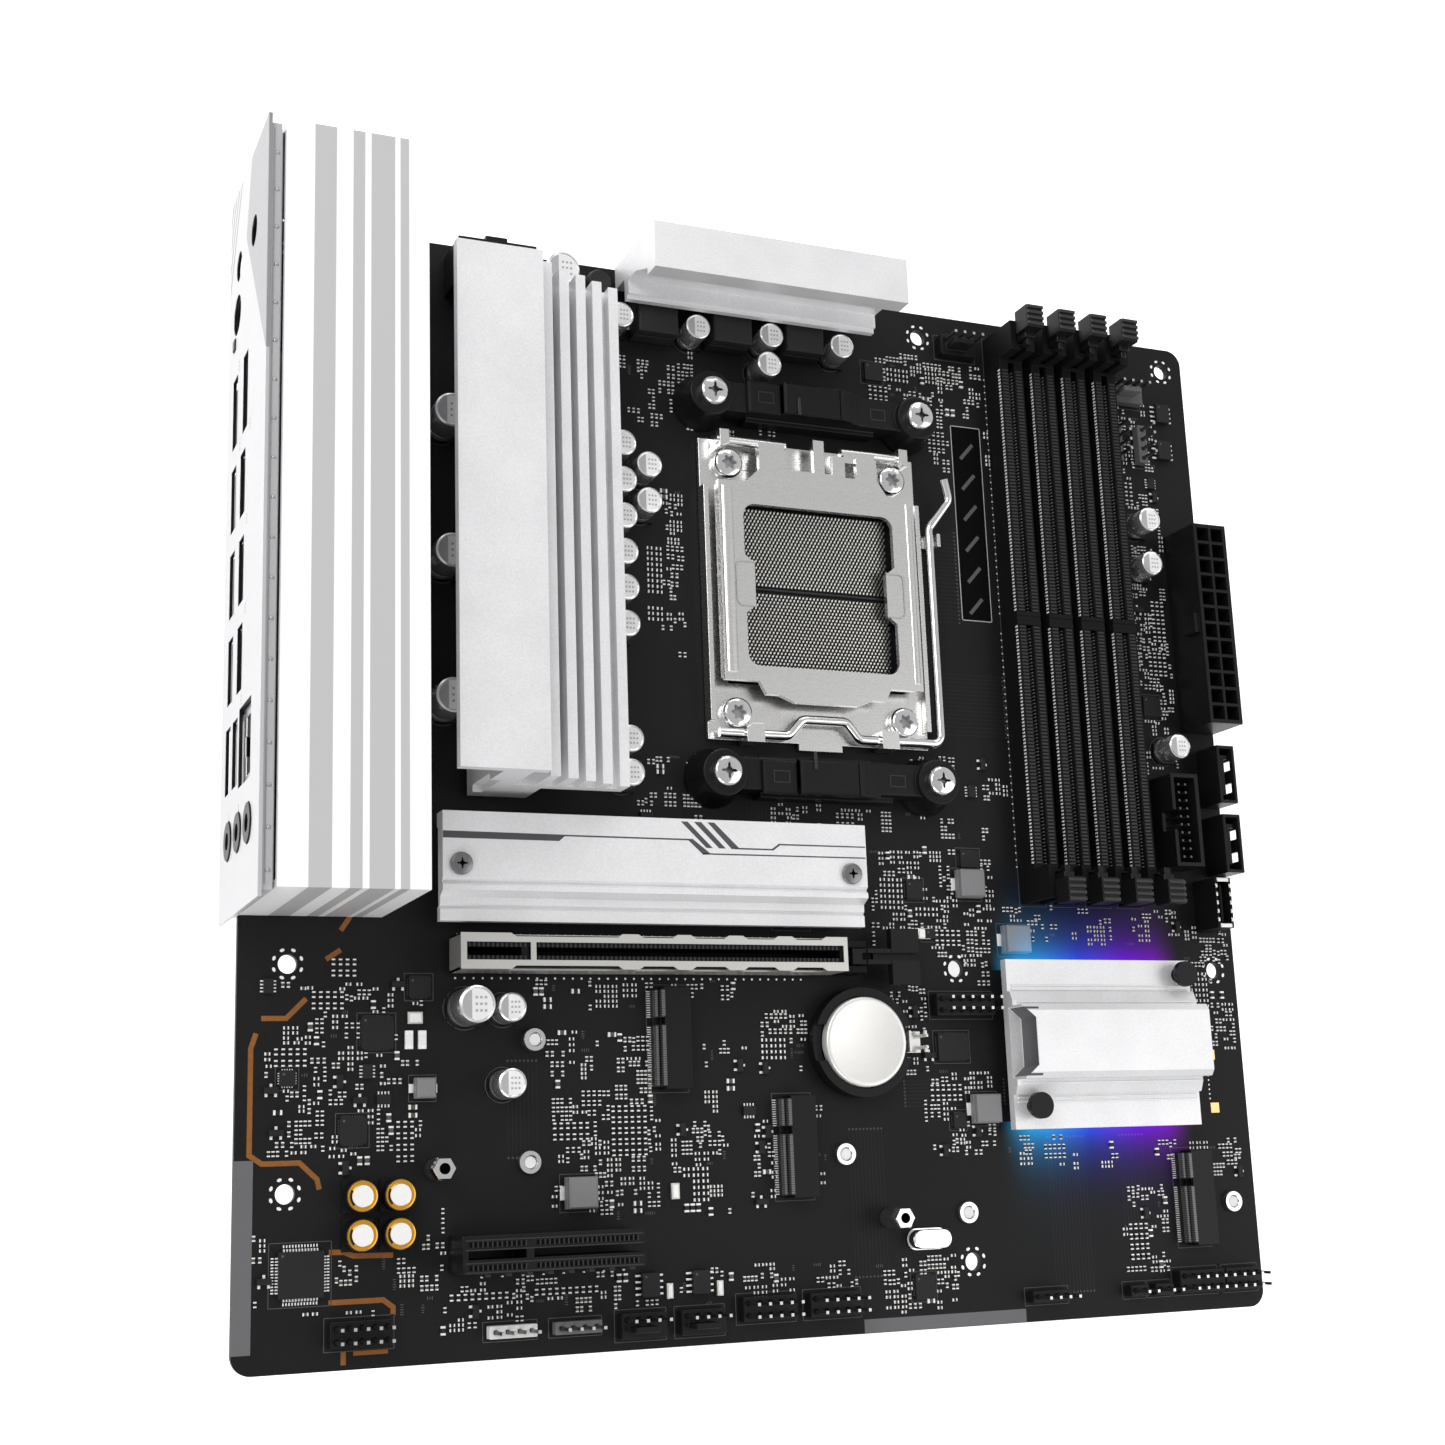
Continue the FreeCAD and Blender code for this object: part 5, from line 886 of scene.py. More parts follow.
def make_slot_details():
    """Ribs and contacts of the memory and expansion slots, and the solder dots beside them."""
    parts = Builder("pale_gold", "rib_black", "solder", "black_matt", "inside")
    pitch, top, key_y = 0.85, 7.2, 164.3
    for low, high in islands("dimm_slots"):
        x = (low[0] + high[0]) / 2
        start, end = low[1] + 9.0, high[1] - 9.0
        for k in range(int((end - start) / pitch)):
            y = start + k * pitch
            if abs(y - key_y) < 1.6:
                continue
            for side in (-1, 1):
                parts.middle_block(x + side * 0.72, y, 0.12, 0.15, top - 3.2, top - 1.2, "pale_gold")
                parts.middle_block(x + side * 1.95, y, 0.8, 0.22, top - 0.02, top + 0.2, "rib_black")
            parts.middle_block(x - 3.34, y, 0.06, 0.2, top - 0.9, top - 0.05, "solder")
            if k % 2 == 0:
                parts.ring((x - 3.75, y), 0.0, 0.19, 0.03, "solder", 8)
        for y in (start - 3, key_y - 1.1, key_y + 1.2, end + 1):
            parts.middle_block(x, y, 3.3, 0.5, top - 0.01, top + 0.22, "black_matt", 0.1)
    slot_comb(parts, 45.4, 130.4, 81.85, 10.3, (57.9, 60.1))
    for k in range(41):
        for y, shift in ((77.3, 0), (86.5, 0.5)):
            parts.ring((45.2 + k * 2 + shift, y), 0.0, 0.24, 0.03, "solder", 8)
    face = 11.18  # the short slot's top
    for k in range(36):
        x = 45.0 + k
        if abs(x - 57.4) < 1.0:
            continue
        for y in (18.6, 23.1):
            # painted shade: a thin near-black plate on the short slot's top stands for each dark opening
            parts.middle_block(x, y, 0.29, 0.5, face, face + 0.04, "inside")
            parts.middle_block(x + 0.49, y, 0.13, 0.55, face, face + 0.12, "rib_black")
    for y0, y1 in ((17.55, 17.85), (19.4, 19.65), (21.95, 22.2), (23.85, 24.1)):
        parts.block((43.9, y0, face), (81.6, y1, face + 0.12), "rib_black")
    for k in range(8):
        x = 48.6 + k * 4.4
        parts.block((x, 16.7, 0.2), (x + 1.2, 17.42, 9.0), "rib_black", 0.1)
        parts.block((x + 1.5, 16.2, 0.02), (x + 1.9, 17.4, 0.6), "solder", 0.05)
    parts.finish("slot_contacts", "board", "pin_metal", smooth=False)


def slot_comb(parts, start, end, y, top, key):
    """The moulded teeth between the contacts, on both sides of a card edge."""
    for k in range(int(end - start)):
        x = start + k
        if not key[0] < x < key[1]:
            for side in (-1, 1):
                parts.middle_block(x, y + side * 1.37, 0.24, 0.47, top - 0.02, top + 0.3, "rib_black")


def make_slot_shield():
    """The folded shield of the graphics slot: a notched face with two windows, and its skirts."""
    parts = Builder("rail_plate")
    low, high = node_box("pcie_x16_shield")
    x0, x1, y0, y1, top = low[0], high[0], low[1], high[1], high[2]
    thick, inset, slope = 0.4, 0.72, 1.1
    tabs = ((x0, x0 + 10.8), (x0 + 35.4, x0 + 39.0), (x0 + 47.9, x0 + 51.0), (x0 + 59.9, x0 + 63.2),
            (x0 + 71.6, x0 + 74.9), (x0 + 83.2, x1))
    windows = ((x0 + 1.3, x0 + 15.0), (x0 + 16.2, x1 - 1.0))
    window_low, window_high = (y0 + y1) / 2 - 1.85, (y0 + y1) / 2 + 1.85
    marks = {x0, x1}
    for a, b in tabs:
        marks |= {a, b, max(x0, a - slope), min(x1, b + slope)}
    for a, b in windows:
        marks |= {a, b}
    marks = sorted(marks)

    def edge(x):
        """How far the outline is drawn in at x."""
        for a, b in tabs:
            if a <= x <= b:
                return 0.0
        gap = min(min(abs(x - a), abs(x - b)) for a, b in tabs)
        return inset * min(1.0, gap / slope)

    for a, b in zip(marks, marks[1:]):
        middle = (a + b) / 2
        holed = any(p <= middle <= q for p, q in windows)
        spans = [(0, 1)] if not holed else [(0, 2), (3, 1)]
        for first, second in spans:
            lows = (y0 + edge(a), y0 + edge(b)) if first == 0 else (window_high, window_high)
            highs = (y1 - edge(a), y1 - edge(b)) if second == 1 else (window_low, window_low)
            points = [(a, lows[0], top - thick), (b, lows[1], top - thick), (b, highs[1], top - thick),
                      (a, highs[0], top - thick), (a, lows[0], top), (b, lows[1], top), (b, highs[1], top),
                      (a, highs[0], top)]
            faces = [(4, 5, 6, 7), (3, 2, 1, 0), (0, 1, 5, 4), (2, 3, 7, 6)]
            if a == x0 or (not holed and any(abs(a - q) < 1e-6 for _, q in windows)):
                faces.append((3, 0, 4, 7))
            if b == x1 or (not holed and any(abs(b - p) < 1e-6 for p, _ in windows)):
                faces.append((1, 2, 6, 5))
            parts.add(points, faces, "rail_plate")
    for a, b in tabs:
        for y, inner in ((y0, y0 + thick), (y1 - thick, y1)):
            parts.block((a, y, 2.2), (b, inner, top - thick), "rail_plate")
    for y, inner in ((y0 + 0.02, y0 + 0.4), (y1 - 0.4, y1 - 0.02)):
        parts.block((x0 + 10.8, y, 1.4), (x0 + 83.2, inner, 8.4), "rail_plate")
    for x, inner in ((x0, x0 + thick), (x1 - thick, x1)):
        parts.block((x, y0, 2.2), (inner, y1, top - thick), "rail_plate")
    parts.finish("slot_shield", "board", "slot_shield_steel", replaces=("pcie_x16_shield",))


def make_latches():
    """The eight memory latches: a blade on its pin, and a narrow head with finger ridges."""
    half = 2.3
    for index, (end, outward, pivot) in itertools.product(range(1, 5),
                                                          (("low", -1, 99.0), ("high", 1, 235.6))):
        name = f"dimm_latch_{end}_{index}"
        low, high = node_box(name)
        x, top = (low[0] + high[0]) / 2, high[2]
        outer = low[1] if end == "low" else high[1]
        parts = Builder("black", "rib_black")
        parts.middle_block(x, pivot, 1.4, 1.9, 2.0, top - 3.4, "black", 0.2)
        parts.turned((x - 2.5, pivot, 3.6), [(0.01, 0), (1.0, 0), (1.0, 5.0), (0.01, 5.0)], ["black"], 24,
                     "X")
        parts.block((x - half, outer, 14.2), (x + half, outer - outward * 5.8, top - 0.5), "black", 0.3)
        for k in range(4):
            y = outer - outward * (0.2 + k * 1.45)
            parts.block((x - half + 0.05, y, top - 0.6), (x + half - 0.05, y - outward * 0.8, top - 0.02),
                        "rib_black", 0.18)
        for k in range(3):
            z = top - 1.7 - k * 1.5
            parts.block((x - half + 0.2, outer, z - 0.3), (x + half - 0.2, outer - outward * 0.35, z + 0.3),
                        "rib_black", 0.1)
        claw = pivot - outward * 2.3
        parts.middle_block(x, claw, 0.7, 1.3, 14.4, 16.4, "black", 0.2)
        parts.finish(f"latch_{end}_{index}_shape", f"latch_{end}_{index}", "plastic_black", bevel=0.12,
                     replaces=(name,))


def make_drive_sockets():
    """Contact combs of each drive socket, and a near-black block in its mouth as painted shade."""
    parts = Builder("comb", "inside", "solder", "rib_black")
    for low, high in islands("m2_sockets"):
        (x0, y0, _), (_, y1, top) = low, high
        if top > 8:
            continue
        key = y0 + (y1 - y0) * 0.66
        for a, b in ((y0 + 0.7, key - 0.9), (key + 0.9, y1 - 0.7)):
            parts.block((x0 + 0.1, a, 0.8), (x0 + 0.75, b, 3.2), "comb", 0.1)
            parts.block((x0 + 1.25, a, 1.5), (x0 + 2.1, b, top + 0.02), "comb", 0.1)
            # painted shade: a near-black block fills the mouth between the combs
            parts.block((x0 + 0.75, a, 0.5), (x0 + 1.25, b, 2.2), "inside")
            y = a + 0.1
            while y < b - 0.2:
                parts.block((x0 + 1.2, y, 1.6), (x0 + 2.15, y + 0.14, top + 0.06), "rib_black")
                parts.block((x0 + 0.02, y, 0.9), (x0 + 0.8, y + 0.14, 3.26), "rib_black")
                parts.block((x0 - 0.8, y, 0), (x0 + 0.1, y + 0.2, 0.16), "solder")
                y += 0.5
    parts.finish("drive_socket_contacts", "board", "pin_metal", smooth=False)


def make_ports():
    """Jack rings, port mouths near black with painted shade, with tongues and contacts, and spring bumps on
    the plate's rim.
    """
    parts = Builder("pink", "green", "blue", "gold", "inside", "port", "comb", "silk")
    front, stack_deep = -2.2, 9.4
    for z, colour in ((6.6, "pink"), (17.8, "green"), (29.0, "blue")):
        profile = [(3.7, -1.08), (3.65, -1.26), (2.7, -1.36), (2.05, -1.2), (1.85, 3.0)]
        # painted shade: the jack's bore is near black
        parts.turned((front, 103.7, z), profile, [colour, colour, colour, "inside"], 40, "X")
    for y, levels in ((176.2, (5.2, 16.2)), (157.6, (5.2, 16.2)), (139.2, (5.2, 16.2)),
                      (120.5, (4.2, 12.4))):
        for z in levels:
            # painted shade: each port mouth is lined near black
            painted_shade_liner(parts, y, z, 6.55, 2.8, stack_deep, front)
            parts.block((front + 0.5, y - 5.6, z + 0.3), (front + 8.8, y + 5.6, z + 1.9), "comb", 0.1)
            for shift in shifts(4, 2.4):
                parts.middle_block(front + 4.85, y + shift, 3.65, 0.45, z + 0.12, z + 0.3, "gold")
    # painted shade: this port mouth is lined near black
    painted_shade_liner(parts, 120.5, 24.2, 6.2, 5.2, stack_deep, front)
    for shift in shifts(8, 1.02):
        parts.middle_block(front + 5.5, 120.5 + shift, 3.5, 0.2, 27.4, 27.9, "gold")
    for box in islands("rear_video_ports"):
        _, y, z = middle_of(box)
        _, wide, tall = size_of(box)
        half_y = wide / 2 - 0.75
        # painted shade: the video port's mouth is lined near black
        painted_shade_liner(parts, y, z, half_y, tall / 2 - 0.7, 6.0, front)
        parts.middle_block(front + 3.4, y, 2.6, half_y - 1.6, z - 0.5, z + 0.5, "comb", 0.1)
    # painted shade: six near-black rods stand for the round port's holes
    for k in range(6):
        angle = HALF_TURN * (0.15 + k / 3)
        parts.turned((front + 0.6, 217.4 + 2.1 * math.cos(angle), 6.2 + 2.1 * math.sin(angle)),
                     [(0.45, 5.0), (0.45, 0.02), (0.01, 0)], ["inside"], 10, "X")
    low, high = node_box("io_shield")
    edge = high[2] - 1.4
    y = low[1] + 5
    while y < high[1] - 4:
        parts.turned((-1.15, y, edge - 0.01), [(0.5, 0), (0.42, 0.12), (0.2, 0.2), (0.01, 0.22)], ["port"],
                     14)
        y += 8.1
    parts.block((-0.42, low[1] + 3, edge - 1.6), (0.12, high[1] - 3, edge - 0.5), "port", 0.2)
    parts.block((-1.9, low[1] + 2.5, edge - 0.02), (-1.66, high[1] - 2.5, edge + 0.1), "port")
    for y, z, long in ((204.5, 9.5, 2.6), (186.5, 12.0, 3.6), (186.5, 24.0, 2.6), (167.0, 21.8, 2.4),
                       (148.4, 21.8, 2.4), (130.2, 19.0, 2.4), (108.6, 6.6, 1.6), (108.6, 17.8, 1.6)):
        for k in range(3):
            start = y - long / 2 + k * long / 3
            parts.block((-3.33, start, z), (-3.3, start + 0.2 * long, z + 0.7), "silk")
    parts.finish("port_details", "board", "port_metal")


def painted_shade_liner(parts, y, z, half_y, half_z, deep, front):
    """Near-black walls and back inside a port's mouth: painted shade."""
    near, far, wall = front + 0.25, front + deep, 0.12
    corners = (y - half_y, z - half_z), (y + half_y, z + half_z)
    for (start_y, start_z), inward in zip(corners, (wall, -wall)):
        for end_y, end_z in ((start_y + inward, 2 * z - start_z), (2 * y - start_y, start_z + inward)):
            parts.block((near, start_y, start_z), (far, end_y, end_z), "inside")
    parts.block((far, *corners[0]), (far + wall, *corners[1]), "inside")


def make_power_details():
    """Bright terminals in the main power connector, the cell's clip, the header's springs, the brackets."""
    parts = Builder("spring_steel", "black", "rib_black", "pin")
    low, high = node_box("atx_power_connector")
    pitch = 4.2
    for row, column in itertools.product(range(12), range(2)):
        parts.turned((low[0] + 3.1 + column * pitch, low[1] + 2.6 + row * pitch, 2.6),
                     [(1.0, 0), (1.0, 5.0), (0.75, 5.4), (0.7, 4.8), (0.01, 4.8)], ["pin"], 12)
    low, high = node_box("battery_clip")
    x, y, top = high[0], (low[1] + high[1]) / 2, high[2]
    for side in (-1, 1):
        parts.middle_block(x + 0.15, y + side * 1.3, 0.35, 0.4, 0.3, top, "spring_steel", 0.1)
        parts.middle_block(x - 0.2, y + side * 2.0, 0.4, 0.5, top - 0.5, top + 0.02, "spring_steel", 0.1)
    low, high = node_box("usb_c_header")
    x, level = (low[0] + high[0]) / 2, high[2] - 0.05
    for y in (low[1] + 0.6, high[1] - 0.6):
        parts.middle_block(x, y, 1.7, 0.5, level, level + 0.2, "spring_steel", 0.08)
    for k, side in itertools.product(range(5), (low[0] + 0.35, high[0] - 0.35)):
        y = low[1] + (high[1] - low[1]) * (k + 1) / 6
        parts.middle_block(side, y, 0.28, 0.5, level, level + 0.17, "spring_steel", 0.08)
    bracket_details(parts)
    parts.finish("connector_details", "board", "pin_metal", bevel=0.08)


def bracket_details(parts):
    """Skirts, stepped humps and plain moulded marks on the two cooler brackets."""
    base, ledge = 6.6, 9.3
    for sign in (1, -1):
        y = SOCKET_Y + sign * 45
        for side in (-1, 1):
            profile = [(6.9, 0), (6.6, 1.2), (5.5, 2.6), (5.38, 6.4)]
            parts.turned((SOCKET_X + side * 27, y, 0.2), profile, ["black"], 40)
        a, b = sorted((y + sign * 4.4, y - sign * 3.4))
        for x0, x1, top in ((114.6, 123.2, 8.0), (123.2, 138.0, 9.6)):
            parts.block((x0, a, base), (x1, b, top), "black", 0.5)
        points = [(138.0, a, base), (144.5, a, base), (144.5, b, base), (138.0, b, base),
                  (138.0, a, ledge), (138.4, a, ledge), (138.4, b, ledge), (138.0, b, ledge)]
        parts.add(points, [(0, 1, 5, 4), (1, 2, 6, 5), (2, 3, 7, 6), (4, 5, 6, 7), (3, 0, 4, 7)], "black")
        parts.middle_block(126.8, y - 2.4 * sign + 0.9, 0.4, 2.1, 9.5, 10.0, "rib_black", 0.1)
        for centre_x, centre_y, z in ((119.0, y + sign * 0.4, 8.0), (149.0, y, 6.8)):
            mark = [(centre_x + a * 1.9, centre_y + b * 1.3)
                    for a, b in ((-1, -1), (1, -1), (1, 1), (-1, 1), (-1, -1))]
            parts.ribbon(mark, 0.25, z, "rib_black", 0.08)


def make_plate_pressings():
    """The rolled side edges and the pressed tabs beside the window of the load plate."""
    parts = Builder("steel", "chrome")
    start_y = node_box("socket_load_plate")[0][1] + 6.4
    top, half, steps = 6.2, 25.4, 10
    for x, wide, rise in ((SOCKET_X - half + 1.9, 1.5, 0.7), (SOCKET_X + half - 1.5, 0.9, 0.4)):
        angles = [HALF_TURN * k / steps for k in range(steps + 1)]
        points = [(x - wide * math.cos(angle), y, top - 0.03 + rise * math.sin(angle))
                  for angle in angles for y in (start_y, 190.6)]
        faces = [(2 * k, 2 * k + 2, 2 * k + 3, 2 * k + 1) for k in range(steps)]
        faces.append(tuple(2 * k for k in range(steps, -1, -1)))
        faces.append(tuple(2 * k + 1 for k in range(steps + 1)))
        faces.append((0, 1, 2 * steps + 1, 2 * steps))
        parts.add(points, faces, "steel")
    half_tab = [(16.9, 5.3), (20.4, 5.3), (21.25, 4.95), (21.6, 4.1)]
    for side in (-1, 1):
        route = [(SOCKET_X + side * x, SOCKET_Y - y) for x, y in half_tab]
        route += [(SOCKET_X + side * x, SOCKET_Y + y) for x, y in reversed(half_tab)]
        for ends in zip(route, route[1:]):
            parts.ribbon(ends, 0.42, top, "chrome", 0.12)
    parts.finish("load_plate_pressings", "load_plate", "socket_steel")


def make_drive_print():
    """The dark line and slashes printed on the drive heatsink, without its words."""
    parts = Builder("dark_print")
    level = node_box("m2_heatsink")[1][2] + 0.012
    shapes = [
        [(40.05, 106.9), (40.05, 105.4), (65.4, 105.4), (66.6, 106.45), (66.6, 106.8)],
        [(66.6, 106.8), (66.6, 106.45), (95.2, 106.45), (95.2, 106.8)],
        [(94.6, 106.8), (96.0, 106.8), (100.0, 103.75), (98.4, 103.35)],
        [(98.4, 103.75), (98.4, 103.42), (138.0, 103.55), (138.0, 103.85)],
        [(93.3, 110.6), (94.9, 110.6), (100.7, 104.9), (99.2, 104.9)],
        [(96.4, 110.6), (98.1, 110.6), (103.8, 104.9), (102.2, 104.9)],
        [(99.6, 110.6), (101.2, 110.6), (106.9, 105.15), (105.2, 104.8)],
        [(105.8, 105.15), (105.8, 104.8), (115.2, 104.8), (115.2, 105.15)],
        [(114.9, 105.15), (115.2, 104.8), (116.9, 106.0), (116.6, 106.35)],
        [(116.6, 106.35), (116.6, 106.0), (138.0, 106.05), (138.0, 106.35)],
    ]
    for outline in shapes:
        parts.add([(x, y, level) for x, y in outline], [tuple(range(len(outline)))], "dark_print")
    parts.finish("drive_plate_print", "board", "heatsink_silver", smooth=False)


def make_sink_ribs():
    """Fine ribs along both sides of the chipset heatsink's block."""
    parts = Builder("blasted")
    for y in (48.9, 49.9, 74.6, 75.6):
        parts.block((176.2, y - 0.22, 5.55), (225.2, y + 0.22, 5.95), "blasted", 0.1)
    for y in (53.1, 71.7):
        parts.block((176.6, y - 0.25, 7.5), (226.0, y + 0.25, 8.1), "blasted", 0.12)
    parts.finish("sink_ribs", "board", "heatsink_silver", bevel=0.06)


# ---------------------------------------------------------------- small parts scattered on the board

# rectangles (x0, y0, x1, y1) that printed panels and lines keep for themselves
KEEP_CLEAR = [(172, 163.5, 182, 216.5), (1.5, 40, 5.2, 70), (3.5, 67.5, 15.5, 74.5), (3, 38.8, 15, 42),
              (12, 34, 18.5, 41), (18, 20.5, 33, 24), (18, 11, 33.5, 14.3), (29, 9, 33.5, 13),
              (0, 0, 3, 42)]

# rectangles that hold small parts, each with how densely
CLUSTERS = [(3.5, 41, 18, 76, 0.62), (19, 39, 38, 76, 0.60), (4, 12, 7, 26, 0.5), (19.5, 14, 25, 24, 0.5),
            (14, 10.2, 34, 11.8, 0.9), (43, 5, 60, 15.5, 0.6), (60, 8, 84, 16, 0.45),
            (65, 27, 90, 66, 0.42), (79, 38, 90, 52, 0.75), (92, 27, 106, 47, 0.5), (111, 27, 117, 49, 0.6),
            (126.5, 30, 129.5, 49, 0.5), (115, 57, 126, 71, 0.5), (146, 55, 157, 76, 0.5),
            (155, 38, 173, 57, 0.6), (141, 4, 161, 16, 0.6), (144, 84, 176, 108, 0.6),
            (206, 9, 218, 29, 0.6), (227, 60, 242, 92, 0.5), (219, 128, 233, 233, 0.52),
            (151, 216, 172, 232, 0.5), (82, 5, 136, 16, 0.32), (62, 70, 110, 77, 0.3),
            (160, 76, 176, 84, 0.4), (174, 86, 228, 95, 0.28), (176, 33, 206, 41, 0.25),
            (84, 112, 104, 128, 0.3), (118, 112, 150, 118, 0.3), (154, 110, 184, 130, 0.18),
            (78, 205, 104, 228, 0.28), (106, 204, 126, 212, 0.25), (163, 200, 184, 232, 0.3),
            (31.5, 96, 38, 230, 0.22), (100, 47, 112, 64, 0.18), (212, 30, 241, 40, 0.22),
            (30, 12, 44, 24, 0.25), (38, 6, 43, 40, 0.15), (93, 150, 100, 190, 0.5)]

# rows of equal resistors: first place, columns, rows, turned
ARRAYS = [(79.6, 40.4, 6, 5, True), (96.0, 30.0, 3, 6, False), (66.5, 44.0, 6, 2, True),
          (8.0, 60.0, 5, 2, True), (15.5, 71.5, 5, 2, True), (33.0, 40.5, 3, 4, True),
          (115.5, 60.0, 3, 4, False), (228.5, 164.0, 3, 5, True), (146.5, 60.0, 3, 5, False),
          (156.0, 92.5, 3, 2, False), (160.5, 86.0, 5, 2, True), (147.0, 94.0, 3, 6, False),
          (230.0, 70.0, 3, 8, False), (91.5, 159.0, 2, 3, False), (91.6, 165.5, 2, 9, False),
          (226.5, 155.0, 4, 3, True), (157.0, 50.5, 6, 2, True), (19.5, 78.2, 4, 2, True),
          (44.0, 12.6, 9, 1, True), (62.0, 12.8, 10, 1, True), (150.8, 220.0, 4, 2, True),
          (156.4, 225.2, 3, 3, False), (222.0, 200.0, 3, 3, True), (207.6, 13.0, 4, 4, True)]

# small packages: room to keep, body with its height, bevel, lead reach, lead half width and height, leads
PACKAGES = {
    "three_leads": {
        "room": (1.35, 1.35), "body": (1.45, 0.65, 1.0), "edge": 0.12, "reach": (0.6, 1.3),
        "lead": (0.26, 0.25), "places": [(-0.95, -1), (0.95, -1), (0.0, 1)]},
    "eight_leads": {
        "room": (2.1, 1.6), "body": (1.5, 1.0, 0.9), "edge": 0.1, "reach": (0.98, 1.6),
        "lead": (0.14, 0.2), "places": [(shift, side) for shift in shifts(4, 0.7) for side in (-1, 1)]},
}


def surface_tests():
    """Two ray tests: what stands above a spot on the board, and where the bare board is."""
    def tree_of(names):
        points, faces = [], []
        for name in names:
            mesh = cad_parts[name].data
            start = len(points)
            points += [vertex.co.copy() for vertex in mesh.vertices]
            faces += [tuple(start + corner for corner in face.vertices) for face in mesh.polygons]
        return BVHTree.FromPolygons(points, faces)

    over = tree_of([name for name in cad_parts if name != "pcb"])
    board = tree_of(["pcb"])
    down = Vector((0, 0, -1))

    def free(x, y, half_x, half_y):
        for dx, dy in ((0, 0), (-half_x, -half_y), (half_x, -half_y), (-half_x, half_y), (half_x, half_y),
                       (half_x, 0), (-half_x, 0), (0, half_y), (0, -half_y)):
            at = Vector(((x + dx - ORIGIN[0]) * MM, (y + dy - ORIGIN[1]) * MM, 0.06))
            if over.ray_cast(at, down, 0.0583)[0] is not None:
                return False
            hit = board.ray_cast(at, down, 0.2)[0]
            if hit is None or hit.z < 1.5 * MM:
                return False
        return True
    return free


class Crowd:
    """Small surface parts, kept clear of the big ones and of each other."""

    def __init__(self, free):
        self.free = free
        self.taken = {}
        self.parts = Builder("solder", "ceramic", "resistor", "epoxy")

    def room(self, x, y, half_x, half_y=None, gap=0.22):
        """Whether nothing lies within the half sizes; a spot that is free is remembered as taken."""
        half_y = half_x if half_y is None else half_y
        if any(x0 < x < x1 and y0 < y < y1 for x0, y0, x1, y1 in KEEP_CLEAR):
            return False
        key = (int(x // 3), int(y // 3))
        for a in (-1, 0, 1):
            for b in (-1, 0, 1):
                for px, py, other_x, other_y in self.taken.get((key[0] + a, key[1] + b), ()):
                    if abs(px - x) < half_x + other_x + gap and abs(py - y) < half_y + other_y + gap:
                        return False
        if not self.free(x, y, half_x + 0.15, half_y + 0.15):
            return False
        self.taken.setdefault(key, []).append((x, y, half_x, half_y))
        return True

    def lay(self, spot, turned, low, high, material, slope=0.0):
        """A block given from the middle of a part, with its long axis along Y when turned."""
        ends = []
        for across, along, level in (low, high):
            across, along = (along, across) if turned else (across, along)
            ends.append((spot[0] + across, spot[1] + along, level))
        self.parts.block(*ends, material, slope)

    def two_ended(self, x, y, long, wide, tall, turned, body):
        """A chip resistor or capacitor with its two bright ends."""
        half_long, half_wide, cap, pad, sole = long / 2, wide / 2, long * 0.24, 0.04, 0.02
        if not self.room(x, y, *((half_wide, half_long) if turned else (half_long, half_wide))):
            return
        reach = half_long - cap
        self.lay((x, y), turned, (-reach, -half_wide, sole), (reach, half_wide, tall * 0.94), body)
        for side in (-1, 1):
            self.lay((x, y), turned, (side * reach, -half_wide - pad, sole),
                     (side * (half_long + pad), half_wide + pad, tall), "solder", 0.07)

    def package(self, kind, x, y, turned):
        """A small package with its bright leads, by its kind in PACKAGES."""
        made = PACKAGES[kind]
        if not self.room(x, y, *(made["room"][::-1] if turned else made["room"])):
            return
        half_x, half_y, top = made["body"]
        self.lay((x, y), turned, (-half_x, -half_y, 0.1), (half_x, half_y, top), "epoxy", made["edge"])
        near, far = made["reach"]
        half, rise = made["lead"]
        for shift, side in made["places"]:
            self.lay((x, y), turned, (shift - half, side * near, 0.02), (shift + half, side * far, rise),
                     "solder")


def make_small_parts(free):
    """Fill each cluster with little groups of chip parts, a few transistors and their printed marks."""
    crowd = Crowd(free)
    special_parts(crowd)
    for box in islands("polymer_capacitors") + islands("audio_capacitors"):
        x, y, _ = middle_of(box)
        half = size_of(box)[0] / 2
        crowd.room(x, y, half + 0.2)
    for x, y, across, down, turned in ARRAYS:
        step_x, step_y = (1.45, 2.3) if turned else (2.2, 1.3)
        for row, column in itertools.product(range(down), range(across)):
            crowd.two_ended(x + column * step_x, y + row * step_y, 1.25, 0.6, 0.4, turned, "resistor")
    marks = Builder("silk_dim")
    for x0, y0, x1, y1, density in CLUSTERS:
        area = (x1 - x0) * (y1 - y0)
        for _ in range(int(area * density * 0.21) + 2):
            group_of_parts(crowd, x0, y0, x1, y1)
        for _ in range(int(area * density * 0.05) + 1):
            dashes(marks, crowd, rng.uniform(x0, x1), rng.uniform(y0, y1), rng.random() < 0.4)
    crowd.parts.finish("small_parts", "board", "pin_metal", smooth=False)
    marks.finish("printed_ticks", "board", "solder_mask", smooth=False)


